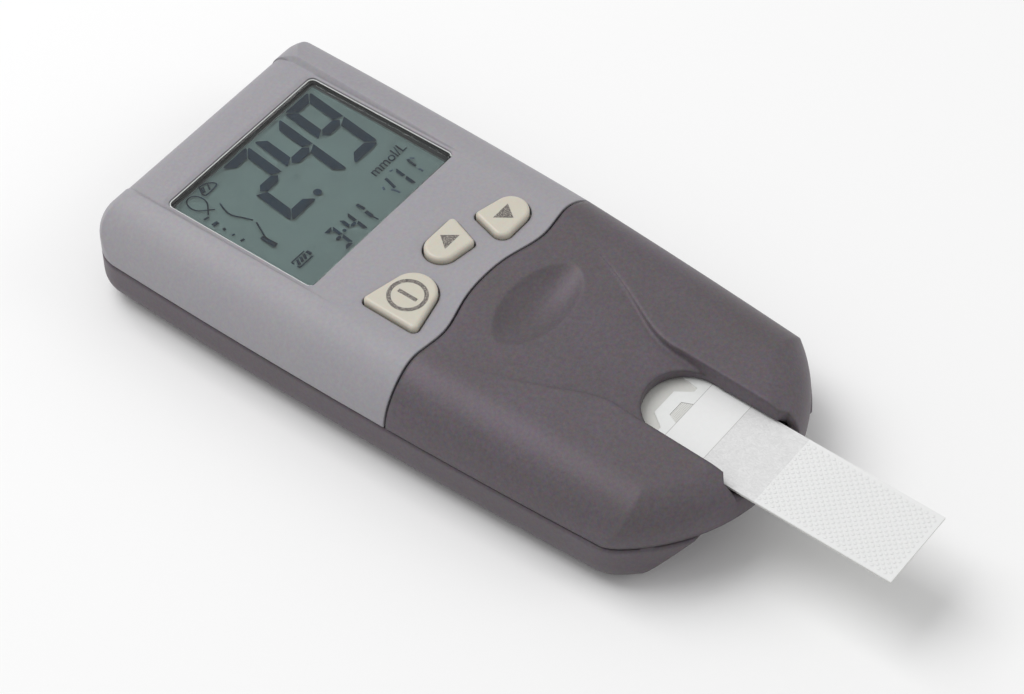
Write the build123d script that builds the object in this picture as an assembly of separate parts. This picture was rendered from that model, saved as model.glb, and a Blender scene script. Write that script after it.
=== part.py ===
"""Hand-held hemoglobin meter with a test strip in place, one STEP file for each separate piece.

Millimetres. X runs to the reader's right, Y from the strip mouth to the display end, Z up from the table.
The origin is the middle of the body on the plane that its four rubber feet stand on.
"""
import os
from math import asin, atan, degrees, radians, tan

from build123d import *

# Body outline, seen from above
BODY_LENGTH = 128.0
BODY_WIDTH = 62.0
SIDE_BOW_R = 1450.0        # each long side is one very flat arc
WIDEST_FROM_HEAD = 24.0    # the body is widest here and narrows towards the strip mouth
NOSE_FLATTENING = 3.0      # the arc of the strip end is this much larger than a half round
HEAD_CORNER_R = 7.2
NOSE_CORNER_R = 8.0

# Stack of heights, from the table up through a battery cell, the board and the display
FOOT_STANDOFF = 0.6
WALL = 1.8                 # every shell of the housing
CELL_SEAT = 0.1
CELL_R = 5.25
CELL_CLEARANCE = 0.4
BOARD_THICK = 1.2
ZEBRA_HEIGHT = 1.1
LCD_THICK = 1.6
WINDOW_DEPTH = 3.6         # from the top of the case down to the display glass
PARTING_Z = 10.5
SHADOW_GAP = 0.5           # dark groove between the upper shells and the bottom case

# Rolled edges
FORM_DEPTH = 2.0           # the rounded forms of the upper shells reach this far below the parting line
SHOULDER_DEPTH = 0.1       # and their long rounded edges end this far below it
HEAD_ROLL_R = 7.0          # top edge at the display end, less than the corner in plan
NOSE_ROLL_R = 7.6          # top edge at the nose
BASE_ROLL_R = 5.0
RIM_CHAMFER = 0.3

# Tongue of the bottom case inside the upper shells
LIP_WALL = 1.2
LIP_CLEARANCE = 0.25
LIP_ROOT = 3.0
LIP_FROM_NOSE = 16.0

# Sunk display panel between the rails
PANEL_DEPTH = 1.3          # at the display end, running out to nothing above the buttons
PANEL_HALF_WIDTH = 20.6
PANEL_RUN = 51.0
PANEL_SLANT = 45.0
WINDOW_WIDTH = 40.0
WINDOW_LENGTH = 33.4
WINDOW_FROM_HEAD = 10.5
WINDOW_CORNER_R = 1.3
WINDOW_BEVEL = 1.0
WINDOW_BEVEL_DROP = 0.25
LENS_THICK = 1.2
LENS_CLEARANCE = 0.1
LENS_DROP = 0.05           # lens top below the foot of the bevel
LENS_BEVEL = 0.25
COLLAR_WALL = 1.8
SURROUND_THICK = 0.5
SURROUND_CLEARANCE = 0.05
BROW_R = 5.2               # rolled bar between the window and the display end
BROW_SETBACK = 0.3         # behind the ends of the rails
BROW_ROLL_END = 20.0       # degrees above level, where the roll turns into a straight foot
BROW_FOOT = 1.9            # above the parting line, where the setback has run out

# Display and its holder
LCD_WIDTH = 41.6
LCD_LENGTH = 35.4
LCD_CLEARANCE = 0.15
HOLDER_WALL = 1.0
HOLDER_SHELF = 1.4
ZEBRA_WIDTH = 1.8
ZEBRA_LENGTH = 36.0
ZEBRA_FROM_EDGE = 0.7

# Main board and what sits on it
BOARD_FROM_SIDE = 9.4
BOARD_FROM_HEAD = 4.0
BOARD_TO_TRAY = 2.0
BOARD_CORNER_R = 3.0
CHIP_SIDE = 10.0
CHIP_THICK = 1.2
CHIP_FROM_BOARD_END = 10.0
BUZZER_R = 4.5
BUZZER_THICK = 1.2
BUZZER_FROM_SIDE = 16.5
BUZZER_FROM_BOARD_END = 8.0

# Push buttons, each the hull of three rounds (x, y from the key row, radius), then its dome's place
KEYS = {
    "power": ((-10.6, 0.0, 4.3), (-16.5, 4.9, 0.9), (-16.5, -4.8, 0.9), (-11.6, 0.0)),
    "up": ((0.3, 2.4, 3.1), (4.3, -0.5, 0.9), (6.0, 4.5, 0.9), (1.9, 2.1)),
    "down": ((14.6, -1.8, 3.3), (10.6, 1.7, 0.9), (10.2, -3.3, 1.8), (13.1, -1.5)),
}
KEYS_BELOW_WINDOW = 14.9
KEY_RISE = 1.15
KEY_EDGE_R = 0.7
KEY_CLEARANCE = 0.35
KEY_COLLAR = 0.9
KEY_COLLAR_THICK = 0.8
KEY_SEAT_GAP = 0.1
KEY_STEM_R = 1.8
DOME_R = 3.0
DOME_TOP_R = 2.0
DOME_HEIGHT = 1.6
DOME_WALL = 0.4
DOME_FLANGE = 0.7
DOME_GAP = 0.05

# Wavy edge between top case and front cover: x, and y from the straight ends of the wave
WAVE_BELOW_KEYS = 8.7
WAVE_POINTS = ((0.0, 1.8), (6.3, 1.2), (14.0, -0.5), (21.3, 0.2), (26.0, 0.0), (36.0, 0.0))
COVER_GAP = 0.45

# Front cover
NOSE_TILT = 2.2            # degrees, the cover's top falls towards the strip mouth
RAMP_DROP = 2.4            # how far the middle channel sinks by the notch
RAMP_START = 4.5           # its floor starts to bend down this far from the middle of the wave
RAMP_SLANT = 12.0
RAMP_FLANK = (             # crest of the channel's flank: x, and y from the middle of the wave
    (19.4, 3.5), (18.9, -2.0), (17.6, -7.5), (15.0, -15.5), (10.9, -24.0), (8.6, -29.3), (8.2, -34.5),
)
NOTCH_FROM_FRONT = 18.8
NOTCH_R = 7.9
SLOT_HALF_WIDTH = 7.6
SLOT_SPREAD = 0.7          # the walls of the slot lean apart by this much on their way up
MOUTH_LENGTH = 6.0
MOUTH_SHOULDER = 1.2
MOUTH_CLEARANCE = 0.9
MOUTH_SILL = 0.7           # the sill lies this far below the strip
RECESS_X = 1.0
RECESS_FROM_WAVE = 9.5
RECESS_HALF_LENGTH = 11.0
RECESS_HALF_WIDTH = 5.6
RECESS_DEPTH = 2.4

# Bottom case, cut away below the nose
SLOPE_SETBACK = 4.5
SLOPE_RUN = 8.0
CATCH_X = 23.2
CATCH_WIDTH = 2.4
CATCH_DEPTH = 1.2

# Test strip
STRIP_WIDTH = 16.4
STRIP_DEPTH = 5.4          # top of the strip below the top of the case
STRIP_INSIDE = 31.0        # from the nose to the strip's inner end
STRIP_OUTSIDE = 27.3
CARD_THICK = 0.3
LAYER_THICK = 0.2
PAPER_LENGTH = 11.8
LABEL_LENGTH = 8.0
GRIP_LENGTH = 26.8
PAD_LENGTH = 1.9
PAD_WIDTH = 5.1
PAD_NARROW_WIDTH = 3.3
PAD_GAP = 0.05
FILM_SHOULDER = 1.8
FILM_PEAK = 4.5
FILM_PEAK_HALF_WIDTH = 2.75
FILM_TIP_X = 5.4

# Strip tray
STRIP_CLEARANCE = 0.1
GUIDE_CLEARANCE = 0.3
COVER_CLEARANCE = 0.2
TRAY_THICK = 1.5
TRAY_HALF_WIDTH = 14.4
TRAY_FROM_NOSE = 3.5
TRAY_BEHIND_STRIP = 5.0
GUIDE_WIDTH = 1.4
STOP_LENGTH = 1.5
TRAY_CLEARANCE = 0.8

# Optics under the reaction pad
OPTICS_WIDTH = 14.0
OPTICS_LENGTH = 12.0
EYE_SIDE = 7.0
EYE_THICK = 0.9
EYE_LEDGE = 0.8
EYE_CLEARANCE = 0.05
LIGHT_TUBE_R = 1.5
LED_R = 1.3
LED_HEIGHT = 3.0
LED_X = 3.8
LED_PLAY = 0.15
SENSOR_SIDE = 2.6
SENSOR_HEIGHT = 1.1
OPTICS_BOARD_HALF_WIDTH = 10.0
OPTICS_BOARD_Z = 3.0
OPTICS_BOARD_BACK = 18.5   # from the middle of the optics towards the display
OPTICS_BOARD_FRONT = 6.6
HEADER_LENGTH = 2.5
HEADER_WIDTH = 12.7
HEADER_INSET = 1.2

# Two AAA cells side by side, and their contacts
CELL_LENGTH = 44.5
CELL_NUB_R = 1.9
CELL_NUB_LENGTH = 0.8
CELL_SPACING = 11.2
CELLS_FROM_HEAD = 10.0
CONTACT_THICK = 0.4
CONTACT_WIDTH = 8.0
CONTACT_SPRING = 2.0
CONTACT_GAP = 0.15
BAY_WALL = 1.4
BAY_WALL_TOP = 1.6         # below the board

# Battery door on the underside
DOOR_HALF_WIDTH = 12.2
DOOR_TONGUE = 0.8          # the inner half of its thickness is wider and runs in a groove
DOOR_TOP_Z = 6.5
DOOR_CLEARANCE = 0.25
TONGUE_CLEARANCE = 0.1
GRIP_RIDGES = 5
GRIP_PITCH = 2.2
GRIP_GROOVE = 1.1
GRIP_GROOVE_LENGTH = 14.0
GRIP_GROOVE_DEPTH = 0.5
GRIP_FROM_DOOR_END = 6.0

# Fasteners and feet
BOSS_R = 2.7
SCREW_R = 1.1
SCREW_HEAD_R = 2.1
SCREW_HEAD_THICK = 1.6
SCREW_LENGTH = 12.0
SCREW_PLAY = 0.25
THREAD_PLAY = 0.05
SCREW_RECESS = 2.6
SCREW_FROM_SIDE = 6.2
SCREW_FROM_HEAD = 5.6
SCREW_BELOW_KEYS = 1.2
BOSS_JOINT = 1.3           # the two halves of each boss meet this far above the parting line
POST_R = 2.0
POST_FROM_BOARD_EDGE = 3.1
POST_FROM_BOARD_END = 2.6
POST_BELOW_KEYS = 7.0      # clear of the rubber domes
SMALL_SCREW_R = 0.8
SMALL_HEAD_R = 1.6
SMALL_HEAD_THICK = 0.8
SMALL_SCREW_LENGTH = 5.0
TRAY_SCREW_X = 12.2
TRAY_SCREWS_FROM_STOP = (0.5, 16.0)
FOOT_R = 3.6
FOOT_THICK = 1.3
FOOT_X = 18.3
FOOT_FROM_HEAD = 16.0
FOOT_FROM_FRONT = 24.0

# Heights that follow from the stack
FLOOR_Z = FOOT_STANDOFF + WALL
CELL_Z = FLOOR_Z + CELL_SEAT + CELL_R
BOARD_BOTTOM_Z = CELL_Z + CELL_R + CELL_CLEARANCE
BOARD_TOP_Z = BOARD_BOTTOM_Z + BOARD_THICK
LCD_BOTTOM_Z = BOARD_TOP_Z + ZEBRA_HEIGHT
LCD_TOP_Z = LCD_BOTTOM_Z + LCD_THICK
TOP_Z = LCD_TOP_Z + WINDOW_DEPTH
CEILING_Z = TOP_Z - WALL
SHOULDER_R = TOP_Z - PARTING_Z + SHOULDER_DEPTH
FORM_FOOT_Z = PARTING_Z - FORM_DEPTH
RIM_Z = PARTING_Z - SHADOW_GAP / 2
SKIRT_Z = PARTING_Z + SHADOW_GAP / 2
BOSS_JOINT_Z = PARTING_Z + BOSS_JOINT
STRIP_TOP_Z = TOP_Z - STRIP_DEPTH
CARD_TOP_Z = STRIP_TOP_Z - LAYER_THICK
STRIP_BOTTOM_Z = CARD_TOP_Z - CARD_THICK
TRAY_TOP_Z = STRIP_BOTTOM_Z - STRIP_CLEARANCE
TRAY_BOTTOM_Z = TRAY_TOP_Z - TRAY_THICK
GUIDE_TOP_Z = STRIP_TOP_Z + GUIDE_CLEARANCE
RAMP_PLATE_Z = GUIDE_TOP_Z + COVER_CLEARANCE
OPTICS_BOARD_TOP_Z = OPTICS_BOARD_Z + BOARD_THICK

# Places across and along the body
NOSE_R = BODY_WIDTH / 2 + NOSE_FLATTENING
BOARD_HALF_WIDTH = BODY_WIDTH / 2 - BOARD_FROM_SIDE
BUZZER_X = BODY_WIDTH / 2 - BUZZER_FROM_SIDE
HEAD_Y = BODY_LENGTH / 2
FRONT_Y = -BODY_LENGTH / 2
NOSE_CENTRE_Y = FRONT_Y + NOSE_R
WIDEST_Y = HEAD_Y - WIDEST_FROM_HEAD
WINDOW_Y = HEAD_Y - WINDOW_FROM_HEAD - WINDOW_LENGTH / 2
PANEL_START_Y = HEAD_Y - PANEL_RUN
KEY_ROW_Y = WINDOW_Y - WINDOW_LENGTH / 2 - KEYS_BELOW_WINDOW
WAVE_Y = KEY_ROW_Y - WAVE_BELOW_KEYS
NOTCH_Y = FRONT_Y + NOTCH_FROM_FRONT
STRIP_INNER_Y = FRONT_Y + STRIP_INSIDE
STRIP_END_Y = FRONT_Y - STRIP_OUTSIDE
GRIP_INNER_Y = STRIP_END_Y + GRIP_LENGTH
PAPER_INNER_Y = GRIP_INNER_Y + PAPER_LENGTH
LABEL_INNER_Y = PAPER_INNER_Y + LABEL_LENGTH
PAD_Y = LABEL_INNER_Y + PAD_LENGTH / 2
TRAY_FRONT_Y = FRONT_Y + TRAY_FROM_NOSE
TRAY_REAR_Y = STRIP_INNER_Y + TRAY_BEHIND_STRIP
BOARD_FRONT_Y = TRAY_REAR_Y + BOARD_TO_TRAY
BOARD_REAR_Y = HEAD_Y - BOARD_FROM_HEAD
CELL_BACK_Y = HEAD_Y - CELLS_FROM_HEAD
CELL_FRONT_Y = CELL_BACK_Y - CELL_LENGTH
BAY_FRONT_Y = CELL_FRONT_Y - CONTACT_SPRING - CONTACT_THICK - CONTACT_GAP
BAY_BACK_Y = CELL_BACK_Y + CONTACT_THICK + 2 * CONTACT_GAP
DOOR_START_Y = BAY_FRONT_Y - CONTACT_GAP
PANEL_TILT = degrees(asin(PANEL_DEPTH / PANEL_RUN))
FAR = 400.0                # larger than the meter, for cutting blocks

CASE_SCREWS = [
    (side * (BODY_WIDTH / 2 - SCREW_FROM_SIDE), y)
    for side in (-1, 1) for y in (HEAD_Y - SCREW_FROM_HEAD, KEY_ROW_Y - SCREW_BELOW_KEYS)
]
BOARD_SCREWS = [
    (side * (BOARD_HALF_WIDTH - POST_FROM_BOARD_EDGE), y)
    for side in (-1, 1) for y in (BOARD_REAR_Y - POST_FROM_BOARD_END, KEY_ROW_Y - POST_BELOW_KEYS)
]
TRAY_SCREWS = [
    (side * TRAY_SCREW_X, STRIP_INNER_Y - back) for side in (-1, 1) for back in TRAY_SCREWS_FROM_STOP
]
FEET = [(side * FOOT_X, y) for side in (-1, 1) for y in (HEAD_Y - FOOT_FROM_HEAD, FRONT_Y + FOOT_FROM_FRONT)]


def slab(x0, x1, y0, y1, z0, z1):
    """Straight block between two opposite corners."""
    return Pos((x0 + x1) / 2, (y0 + y1) / 2, (z0 + z1) / 2) * Box(x1 - x0, y1 - y0, z1 - z0)


def rod(x, y, z0, z1, radius):
    """Upright cylinder."""
    return Pos(x, y, (z0 + z1) / 2) * Cylinder(radius, z1 - z0)


def flat_arc_band(inset):
    """The strip of the plane between the two very flat side arcs."""
    arc_centre = SIDE_BOW_R - BODY_WIDTH / 2
    left = Pos(arc_centre, WIDEST_Y) * Circle(SIDE_BOW_R - inset)
    right = Pos(-arc_centre, WIDEST_Y) * Rot(0, 0, 180) * Circle(SIDE_BOW_R - inset)
    return left & right & Pos(0, WIDEST_Y) * Rectangle(2 * BODY_WIDTH, 3 * BODY_LENGTH)


def plan_outline(inset=0.0, head_corner=HEAD_CORNER_R):
    """The body seen from above: bowed sides, straight display end, round nose."""
    trunk_length = HEAD_Y - inset - NOSE_CENTRE_Y
    trunk = Pos(0, NOSE_CENTRE_Y + trunk_length / 2) * Rectangle(2 * BODY_WIDTH, trunk_length)
    outline = (trunk + Pos(0, NOSE_CENTRE_Y) * Circle(NOSE_R - inset)) & flat_arc_band(inset)
    outline = fillet(outline.vertices().filter_by(lambda v: v.Y > WIDEST_Y), head_corner - inset)
    return fillet(outline.vertices().filter_by(lambda v: v.Y < NOSE_CENTRE_Y), NOSE_CORNER_R - inset)


def upper_form(inset=0.0, roll=HEAD_ROLL_R, head_corner=HEAD_CORNER_R):
    """Solid of an upper shell: rolled ends, and the large shoulders along the sides."""
    height = TOP_Z - inset - FORM_FOOT_Z
    body = extrude(Pos(0, 0, FORM_FOOT_Z) * plan_outline(inset, head_corner), height)
    body = fillet(body.faces().sort_by(Axis.Z)[-1].edges(), roll - inset)
    block = extrude(Pos(0, 0, FORM_FOOT_Z) * flat_arc_band(inset), height)
    long_edges = block.faces().sort_by(Axis.Z)[-1].edges().filter_by(lambda e: e.length > BODY_LENGTH)
    return body & fillet(long_edges, SHOULDER_R - inset)


def base_form(inset=0.0):
    """Solid of the bottom case: plan outline with a rolled lower edge, cut away below the nose."""
    bottom = FOOT_STANDOFF + inset
    body = extrude(Pos(0, 0, bottom) * plan_outline(inset), RIM_Z - bottom)
    body = fillet(body.faces().sort_by(Axis.Z)[0].edges(), BASE_ROLL_R - inset)
    rise = RIM_Z - FOOT_STANDOFF
    setback = FRONT_Y + SLOPE_SETBACK + inset * (1 + (SLOPE_RUN / rise) ** 2) ** 0.5
    side_view = Polyline(
        (setback, RIM_Z), (setback + SLOPE_RUN, FOOT_STANDOFF), (FAR, FOOT_STANDOFF), (FAR, RIM_Z),
        close=True,
    )
    return body & extrude(make_face(Plane.YZ * side_view), FAR / 2, both=True)


def nose_tilt_place():
    """Place that leans down about the line where the cover meets the top case."""
    return Pos(0, WAVE_Y, TOP_Z) * Rot(NOSE_TILT, 0, 0)


def cover_form(inset=0.0):
    """Solid of the front cover: softer at the nose, and leaned down towards it."""
    return nose_tilt_place() * Pos(0, -WAVE_Y, -TOP_Z) * upper_form(inset, NOSE_ROLL_R, NOSE_CORNER_R)


def wave_region(head_side, shift=0.0):
    """Tall block on one side of the wavy edge."""
    points = [(-x, y) for x, y in reversed(WAVE_POINTS[1:])] + list(WAVE_POINTS)
    wave = Spline(*[(x, WAVE_Y + y + shift) for x, y in points])
    reach = FAR / 2 if head_side else -FAR / 2
    start, end = wave @ 0, wave @ 1
    border = Polyline(end, (end.X, reach), (start.X, reach), start)
    return extrude(make_face([wave, border]), FAR / 4)


def panel_place():
    """Place of the sunk panel: its near edge is level with the top, its far edge PANEL_DEPTH below."""
    return Pos(0, PANEL_START_Y, TOP_Z) * Rot(-PANEL_TILT, 0, 0)


def window_place(drop):
    """Middle of the window, a given drop below the sunk panel."""
    return panel_place() * Pos(0, WINDOW_Y - PANEL_START_Y, -drop)


def window_plate(shrink, top_drop, bottom_drop):
    """Rounded plate in the panel's own plane, smaller than the window by shrink on each side."""
    width, length = WINDOW_WIDTH - 2 * shrink, WINDOW_LENGTH - 2 * shrink
    outline = RectangleRounded(width, length, WINDOW_CORNER_R - shrink)
    return window_place(bottom_drop) * extrude(outline, bottom_drop - top_drop)


def between_rails(inset=0.0):
    """Long block between the two rails, its sides slanted outwards above the panel."""
    half = PANEL_HALF_WIDTH + inset
    rise = PANEL_DEPTH * 3
    spread = rise * tan(radians(PANEL_SLANT))
    section = Polyline(
        (-half, -TOP_Z), (half, -TOP_Z), (half, 0), (half + spread, rise), (-half - spread, rise), (-half, 0),
        close=True,
    )
    return panel_place() * extrude(make_face(Plane.XZ * section), -BODY_LENGTH)


def panel_recess(inset=0.0):
    """What is cut away between the rails: the sunk panel, then the brow that rolls down at its end."""
    slope = tan(radians(PANEL_TILT))
    bar_y = HEAD_Y - BROW_SETBACK - BROW_R
    bar_z = TOP_Z - (bar_y - PANEL_START_Y) * slope - BROW_R
    roll = CenterArc((bar_y, bar_z), BROW_R - inset, BROW_ROLL_END, 90 - PANEL_TILT - BROW_ROLL_END)
    foot_z = PARTING_Z + BROW_FOOT
    border = Polyline(
        roll @ 0, (HEAD_Y - inset, foot_z), (FAR, foot_z), (FAR, FAR), (PANEL_START_Y, FAR),
        (PANEL_START_Y, TOP_Z - inset), roll @ 1,
    )
    side_view = Plane.YZ * make_face([roll, border])
    return between_rails(inset) & extrude(side_view, BODY_WIDTH, both=True)


def window_bevel():
    """Shallow bevel that leads from the panel down to the display lens."""
    foot = RectangleRounded(WINDOW_WIDTH, WINDOW_LENGTH, WINDOW_CORNER_R)
    brim = RectangleRounded(
        WINDOW_WIDTH + 2 * WINDOW_BEVEL, WINDOW_LENGTH + 2 * WINDOW_BEVEL, WINDOW_CORNER_R + WINDOW_BEVEL,
    )
    return window_place(0) * loft([Pos(0, 0, -WINDOW_BEVEL_DROP) * foot, brim])


def lens_top_drop():
    """Depth of the lens below the panel."""
    return WINDOW_BEVEL_DROP + LENS_DROP


def key_outline(name, grow=0.0):
    """Plan of one button: the hull of its three rounds."""
    rounds = [Pos(x, KEY_ROW_Y + y) * Circle(r + grow) for x, y, r in KEYS[name][:3]]
    return make_hull([edge for disc in rounds for edge in disc.edges()])


def screw_bosses(z0, z1):
    """Round bosses of the case screws between two heights."""
    bosses = Part()
    for x, y in CASE_SCREWS:
        bosses += rod(x, y, z0, z1, BOSS_R)
    return bosses


def top_case():
    """Light upper shell: sunk display panel, window collar, button holes, screw bosses."""
    outer = upper_form() & slab(-FAR, FAR, -FAR, FAR, SKIRT_Z, FAR)
    outer = (outer & wave_region(True)) - panel_recess()
    half_width = WINDOW_WIDTH / 2 + COLLAR_WALL
    half_length = WINDOW_LENGTH / 2 + COLLAR_WALL
    collar = slab(
        -half_width, half_width, WINDOW_Y - half_length, WINDOW_Y + half_length,
        LCD_TOP_Z + SURROUND_THICK, TOP_Z,
    )
    case = outer - (upper_form(WALL) - panel_recess(WALL)) + (collar & outer)
    case += screw_bosses(BOSS_JOINT_Z, CEILING_Z) & outer
    case -= window_bevel()
    case -= window_plate(0, -TOP_Z, TOP_Z)
    for name in KEYS:
        case -= extrude(key_outline(name, KEY_CLEARANCE), FAR)
    for x, y in CASE_SCREWS:
        case -= rod(x, y, 0, SCREW_RECESS + SCREW_HEAD_THICK + SCREW_LENGTH, SCREW_R + THREAD_PLAY)
    return case


def display_lens():
    """Clear plastic window with bevelled edges, seated on the dark frame."""
    drop = lens_top_drop()
    lens = window_plate(LENS_CLEARANCE, drop, drop + LENS_THICK)
    return chamfer(lens.faces().sort_by(Axis.Z)[-1].edges(), LENS_BEVEL)


def display_surround():
    """Dark frame: a flange on the display glass and a sleeve that lines the window opening."""
    sleeve = window_plate(SURROUND_CLEARANCE, lens_top_drop() + LENS_THICK, TOP_Z)
    flange = Pos(0, WINDOW_Y, LCD_TOP_Z) * extrude(Rectangle(LCD_WIDTH, LCD_LENGTH), SURROUND_THICK)
    frame = (sleeve & slab(-FAR, FAR, -FAR, FAR, LCD_TOP_Z, FAR)) + flange
    return frame - window_plate(SURROUND_CLEARANCE + SURROUND_THICK, -TOP_Z, TOP_Z)


def lcd_panel():
    """Liquid crystal display glass."""
    return Pos(0, WINDOW_Y, LCD_BOTTOM_Z) * extrude(Rectangle(LCD_WIDTH, LCD_LENGTH), LCD_THICK)


def zebra_slot(clearance):
    """Room of the rubber contact strip at the button side of the display."""
    y = WINDOW_Y - LCD_LENGTH / 2 + ZEBRA_FROM_EDGE
    return slab(
        -ZEBRA_LENGTH / 2 - clearance, ZEBRA_LENGTH / 2 + clearance,
        y - clearance, y + ZEBRA_WIDTH + clearance, BOARD_TOP_Z, LCD_BOTTOM_Z,
    )


def lcd_holder():
    """Frame that holds the display glass over the board."""
    width = LCD_WIDTH + 2 * LCD_CLEARANCE
    length = LCD_LENGTH + 2 * LCD_CLEARANCE
    outer = Rectangle(width + 2 * HOLDER_WALL, length + 2 * HOLDER_WALL)
    frame = Pos(0, WINDOW_Y, BOARD_TOP_Z) * extrude(outer, LCD_TOP_Z - BOARD_TOP_Z)
    frame -= Pos(0, WINDOW_Y, LCD_BOTTOM_Z) * extrude(Rectangle(width, length), FAR)
    shelf_opening = Rectangle(width - 2 * HOLDER_SHELF, length - 2 * HOLDER_SHELF - 2 * ZEBRA_WIDTH)
    frame -= Pos(0, WINDOW_Y, 0) * extrude(shelf_opening, FAR)
    return frame - zebra_slot(LCD_CLEARANCE)


def main_board():
    """Circuit board under the display and the buttons, with its screw holes."""
    length = BOARD_REAR_Y - BOARD_FRONT_Y
    outline = RectangleRounded(2 * BOARD_HALF_WIDTH, length, BOARD_CORNER_R)
    board = Pos(0, BOARD_FRONT_Y + length / 2, BOARD_BOTTOM_Z) * extrude(outline, BOARD_THICK)
    for x, y in BOARD_SCREWS:
        board -= rod(x, y, 0, FAR, SMALL_SCREW_R + SCREW_PLAY)
    return board


def microcontroller():
    """Flat square chip on the board, with bevelled edges."""
    y = BOARD_FRONT_Y + CHIP_FROM_BOARD_END
    chip = Pos(0, y, BOARD_TOP_Z + CHIP_THICK / 2) * Box(CHIP_SIDE, CHIP_SIDE, CHIP_THICK)
    return chamfer(chip.faces().sort_by(Axis.Z)[-1].edges(), CHIP_THICK / 5)


def buzzer():
    """Low round buzzer with a sound hole."""
    y = BOARD_FRONT_Y + BUZZER_FROM_BOARD_END
    body = rod(BUZZER_X, y, BOARD_TOP_Z, BOARD_TOP_Z + BUZZER_THICK, BUZZER_R)
    return body - rod(BUZZER_X, y, BOARD_TOP_Z + BUZZER_THICK / 2, FAR, BUZZER_R / 5)


def push_button(name):
    """Keycap with a soft edge, a collar that keeps it under the case wall, and a stem."""
    collar_z = CEILING_Z - KEY_SEAT_GAP - KEY_COLLAR_THICK
    cap = Pos(0, 0, collar_z) * extrude(key_outline(name), TOP_Z + KEY_RISE - collar_z)
    cap = fillet(cap.faces().sort_by(Axis.Z)[-1].edges(), KEY_EDGE_R)
    collar = Pos(0, 0, collar_z) * extrude(key_outline(name, KEY_COLLAR), KEY_COLLAR_THICK)
    x, y = KEYS[name][3]
    stem_z = BOARD_TOP_Z + DOME_HEIGHT + DOME_GAP
    return cap + collar + rod(x, KEY_ROW_Y + y, stem_z, collar_z, KEY_STEM_R)


def rubber_dome(name):
    """Hollow rubber dome on the board, which the button's stem presses flat."""
    x, y = KEYS[name][3]
    skirt = Cone(DOME_R, DOME_TOP_R, DOME_HEIGHT)
    hollow = Cone(DOME_R - DOME_WALL, DOME_TOP_R - DOME_WALL, DOME_HEIGHT)
    flange = Pos(0, 0, (DOME_WALL - DOME_HEIGHT) / 2) * Cylinder(DOME_R + DOME_FLANGE, DOME_WALL)
    dome = skirt + flange - Pos(0, 0, -DOME_WALL) * hollow
    return Pos(x, KEY_ROW_Y + y, BOARD_TOP_Z + DOME_HEIGHT / 2) * dome


def ramp_plan(grow):
    """Plan of the sunk channel, narrowing from the wave to the notch and straight from there on."""
    right = Spline(*[(x + grow, y) for x, y in RAMP_FLANK])
    left = Spline(*[(-x - grow, y) for x, y in RAMP_FLANK])
    ends = Polyline(right @ 1, ((right @ 1).X, -BODY_LENGTH), ((left @ 1).X, -BODY_LENGTH), left @ 1)
    return make_face([right, ends, left, Line(left @ 0, right @ 0)])


def ramp_cut():
    """Sunk middle channel of the cover: steep flanks, and a floor that bends down to the notch."""
    reach = RAMP_DROP * 2
    lean = reach * tan(radians(RAMP_SLANT))
    flanks = loft([Pos(0, 0, -reach) * ramp_plan(-lean), Pos(0, 0, reach) * ramp_plan(lean)], ruled=True)
    floor = TangentArc((-RAMP_START, 0), (NOTCH_Y - WAVE_Y, -RAMP_DROP), tangent=(-1, 0))
    back = -BODY_LENGTH
    border = Polyline(floor @ 1, (back, -RAMP_DROP), (back, reach), (-RAMP_START, reach), floor @ 0)
    side_view = Plane.YZ * make_face([floor, border])
    return nose_tilt_place() * (flanks & extrude(side_view, BODY_WIDTH, both=True))


def thumb_recess():
    """Oval bowl near the wavy edge: a shallow arc spun about an axis above the cover."""
    side_r = (RECESS_HALF_WIDTH ** 2 + RECESS_DEPTH ** 2) / (2 * RECESS_DEPTH)
    rim = side_r - RECESS_DEPTH
    arc = ThreePointArc((-RECESS_HALF_LENGTH, rim), (0, side_r), (RECESS_HALF_LENGTH, rim))
    ends = Polyline(arc @ 1, (RECESS_HALF_LENGTH, 0), (-RECESS_HALF_LENGTH, 0), arc @ 0)
    spindle = revolve(make_face([arc, ends]), Axis.X)
    return nose_tilt_place() * Pos(RECESS_X, -RECESS_FROM_WAVE, rim) * spindle


def slot_lane(grow):
    """Plan of the straight slot, which steps out near the mouth to let the strip in."""
    half, mouth = SLOT_HALF_WIDTH + grow, STRIP_WIDTH / 2 + MOUTH_CLEARANCE + grow
    flare_y = FRONT_Y + MOUTH_LENGTH
    side = [(half, NOTCH_Y), (half, flare_y), (mouth, flare_y - MOUTH_SHOULDER), (mouth, 2 * FRONT_Y)]
    return make_face(Polyline(*side, *[(-x, y) for x, y in reversed(side)], close=True))


def slot_cut():
    """Fingertip notch and the slot to the mouth."""
    sill_z = STRIP_BOTTOM_Z - MOUTH_SILL
    lane = loft([Pos(0, 0, sill_z) * slot_lane(0), Pos(0, 0, TOP_Z) * slot_lane(SLOT_SPREAD)], ruled=True)
    return lane + rod(0, NOTCH_Y, sill_z, TOP_Z, NOTCH_R)


def front_cover():
    """Dark upper shell over the strip: thumb recess, ramp, fingertip notch and strip mouth."""
    outer = cover_form() & slab(-FAR, FAR, -FAR, FAR, SKIRT_Z, FAR)
    outer &= wave_region(False, -COVER_GAP)
    cover = outer - cover_form(WALL)
    thick_middle = Pos(0, WAVE_Y, RAMP_PLATE_Z) * extrude(ramp_plan(WALL), TOP_Z)
    cover += thick_middle & outer
    return cover - ramp_cut() - thumb_recess() - slot_cut()


def lip_ring(inset, thick, z0, z1):
    """Upright ring that follows the plan outline, open at the nose."""
    ring = extrude(Pos(0, 0, z0) * (plan_outline(inset) - plan_outline(inset + thick)), z1 - z0)
    return ring & slab(-FAR, FAR, FRONT_Y + LIP_FROM_NOSE, FAR, z0, z1)


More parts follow.
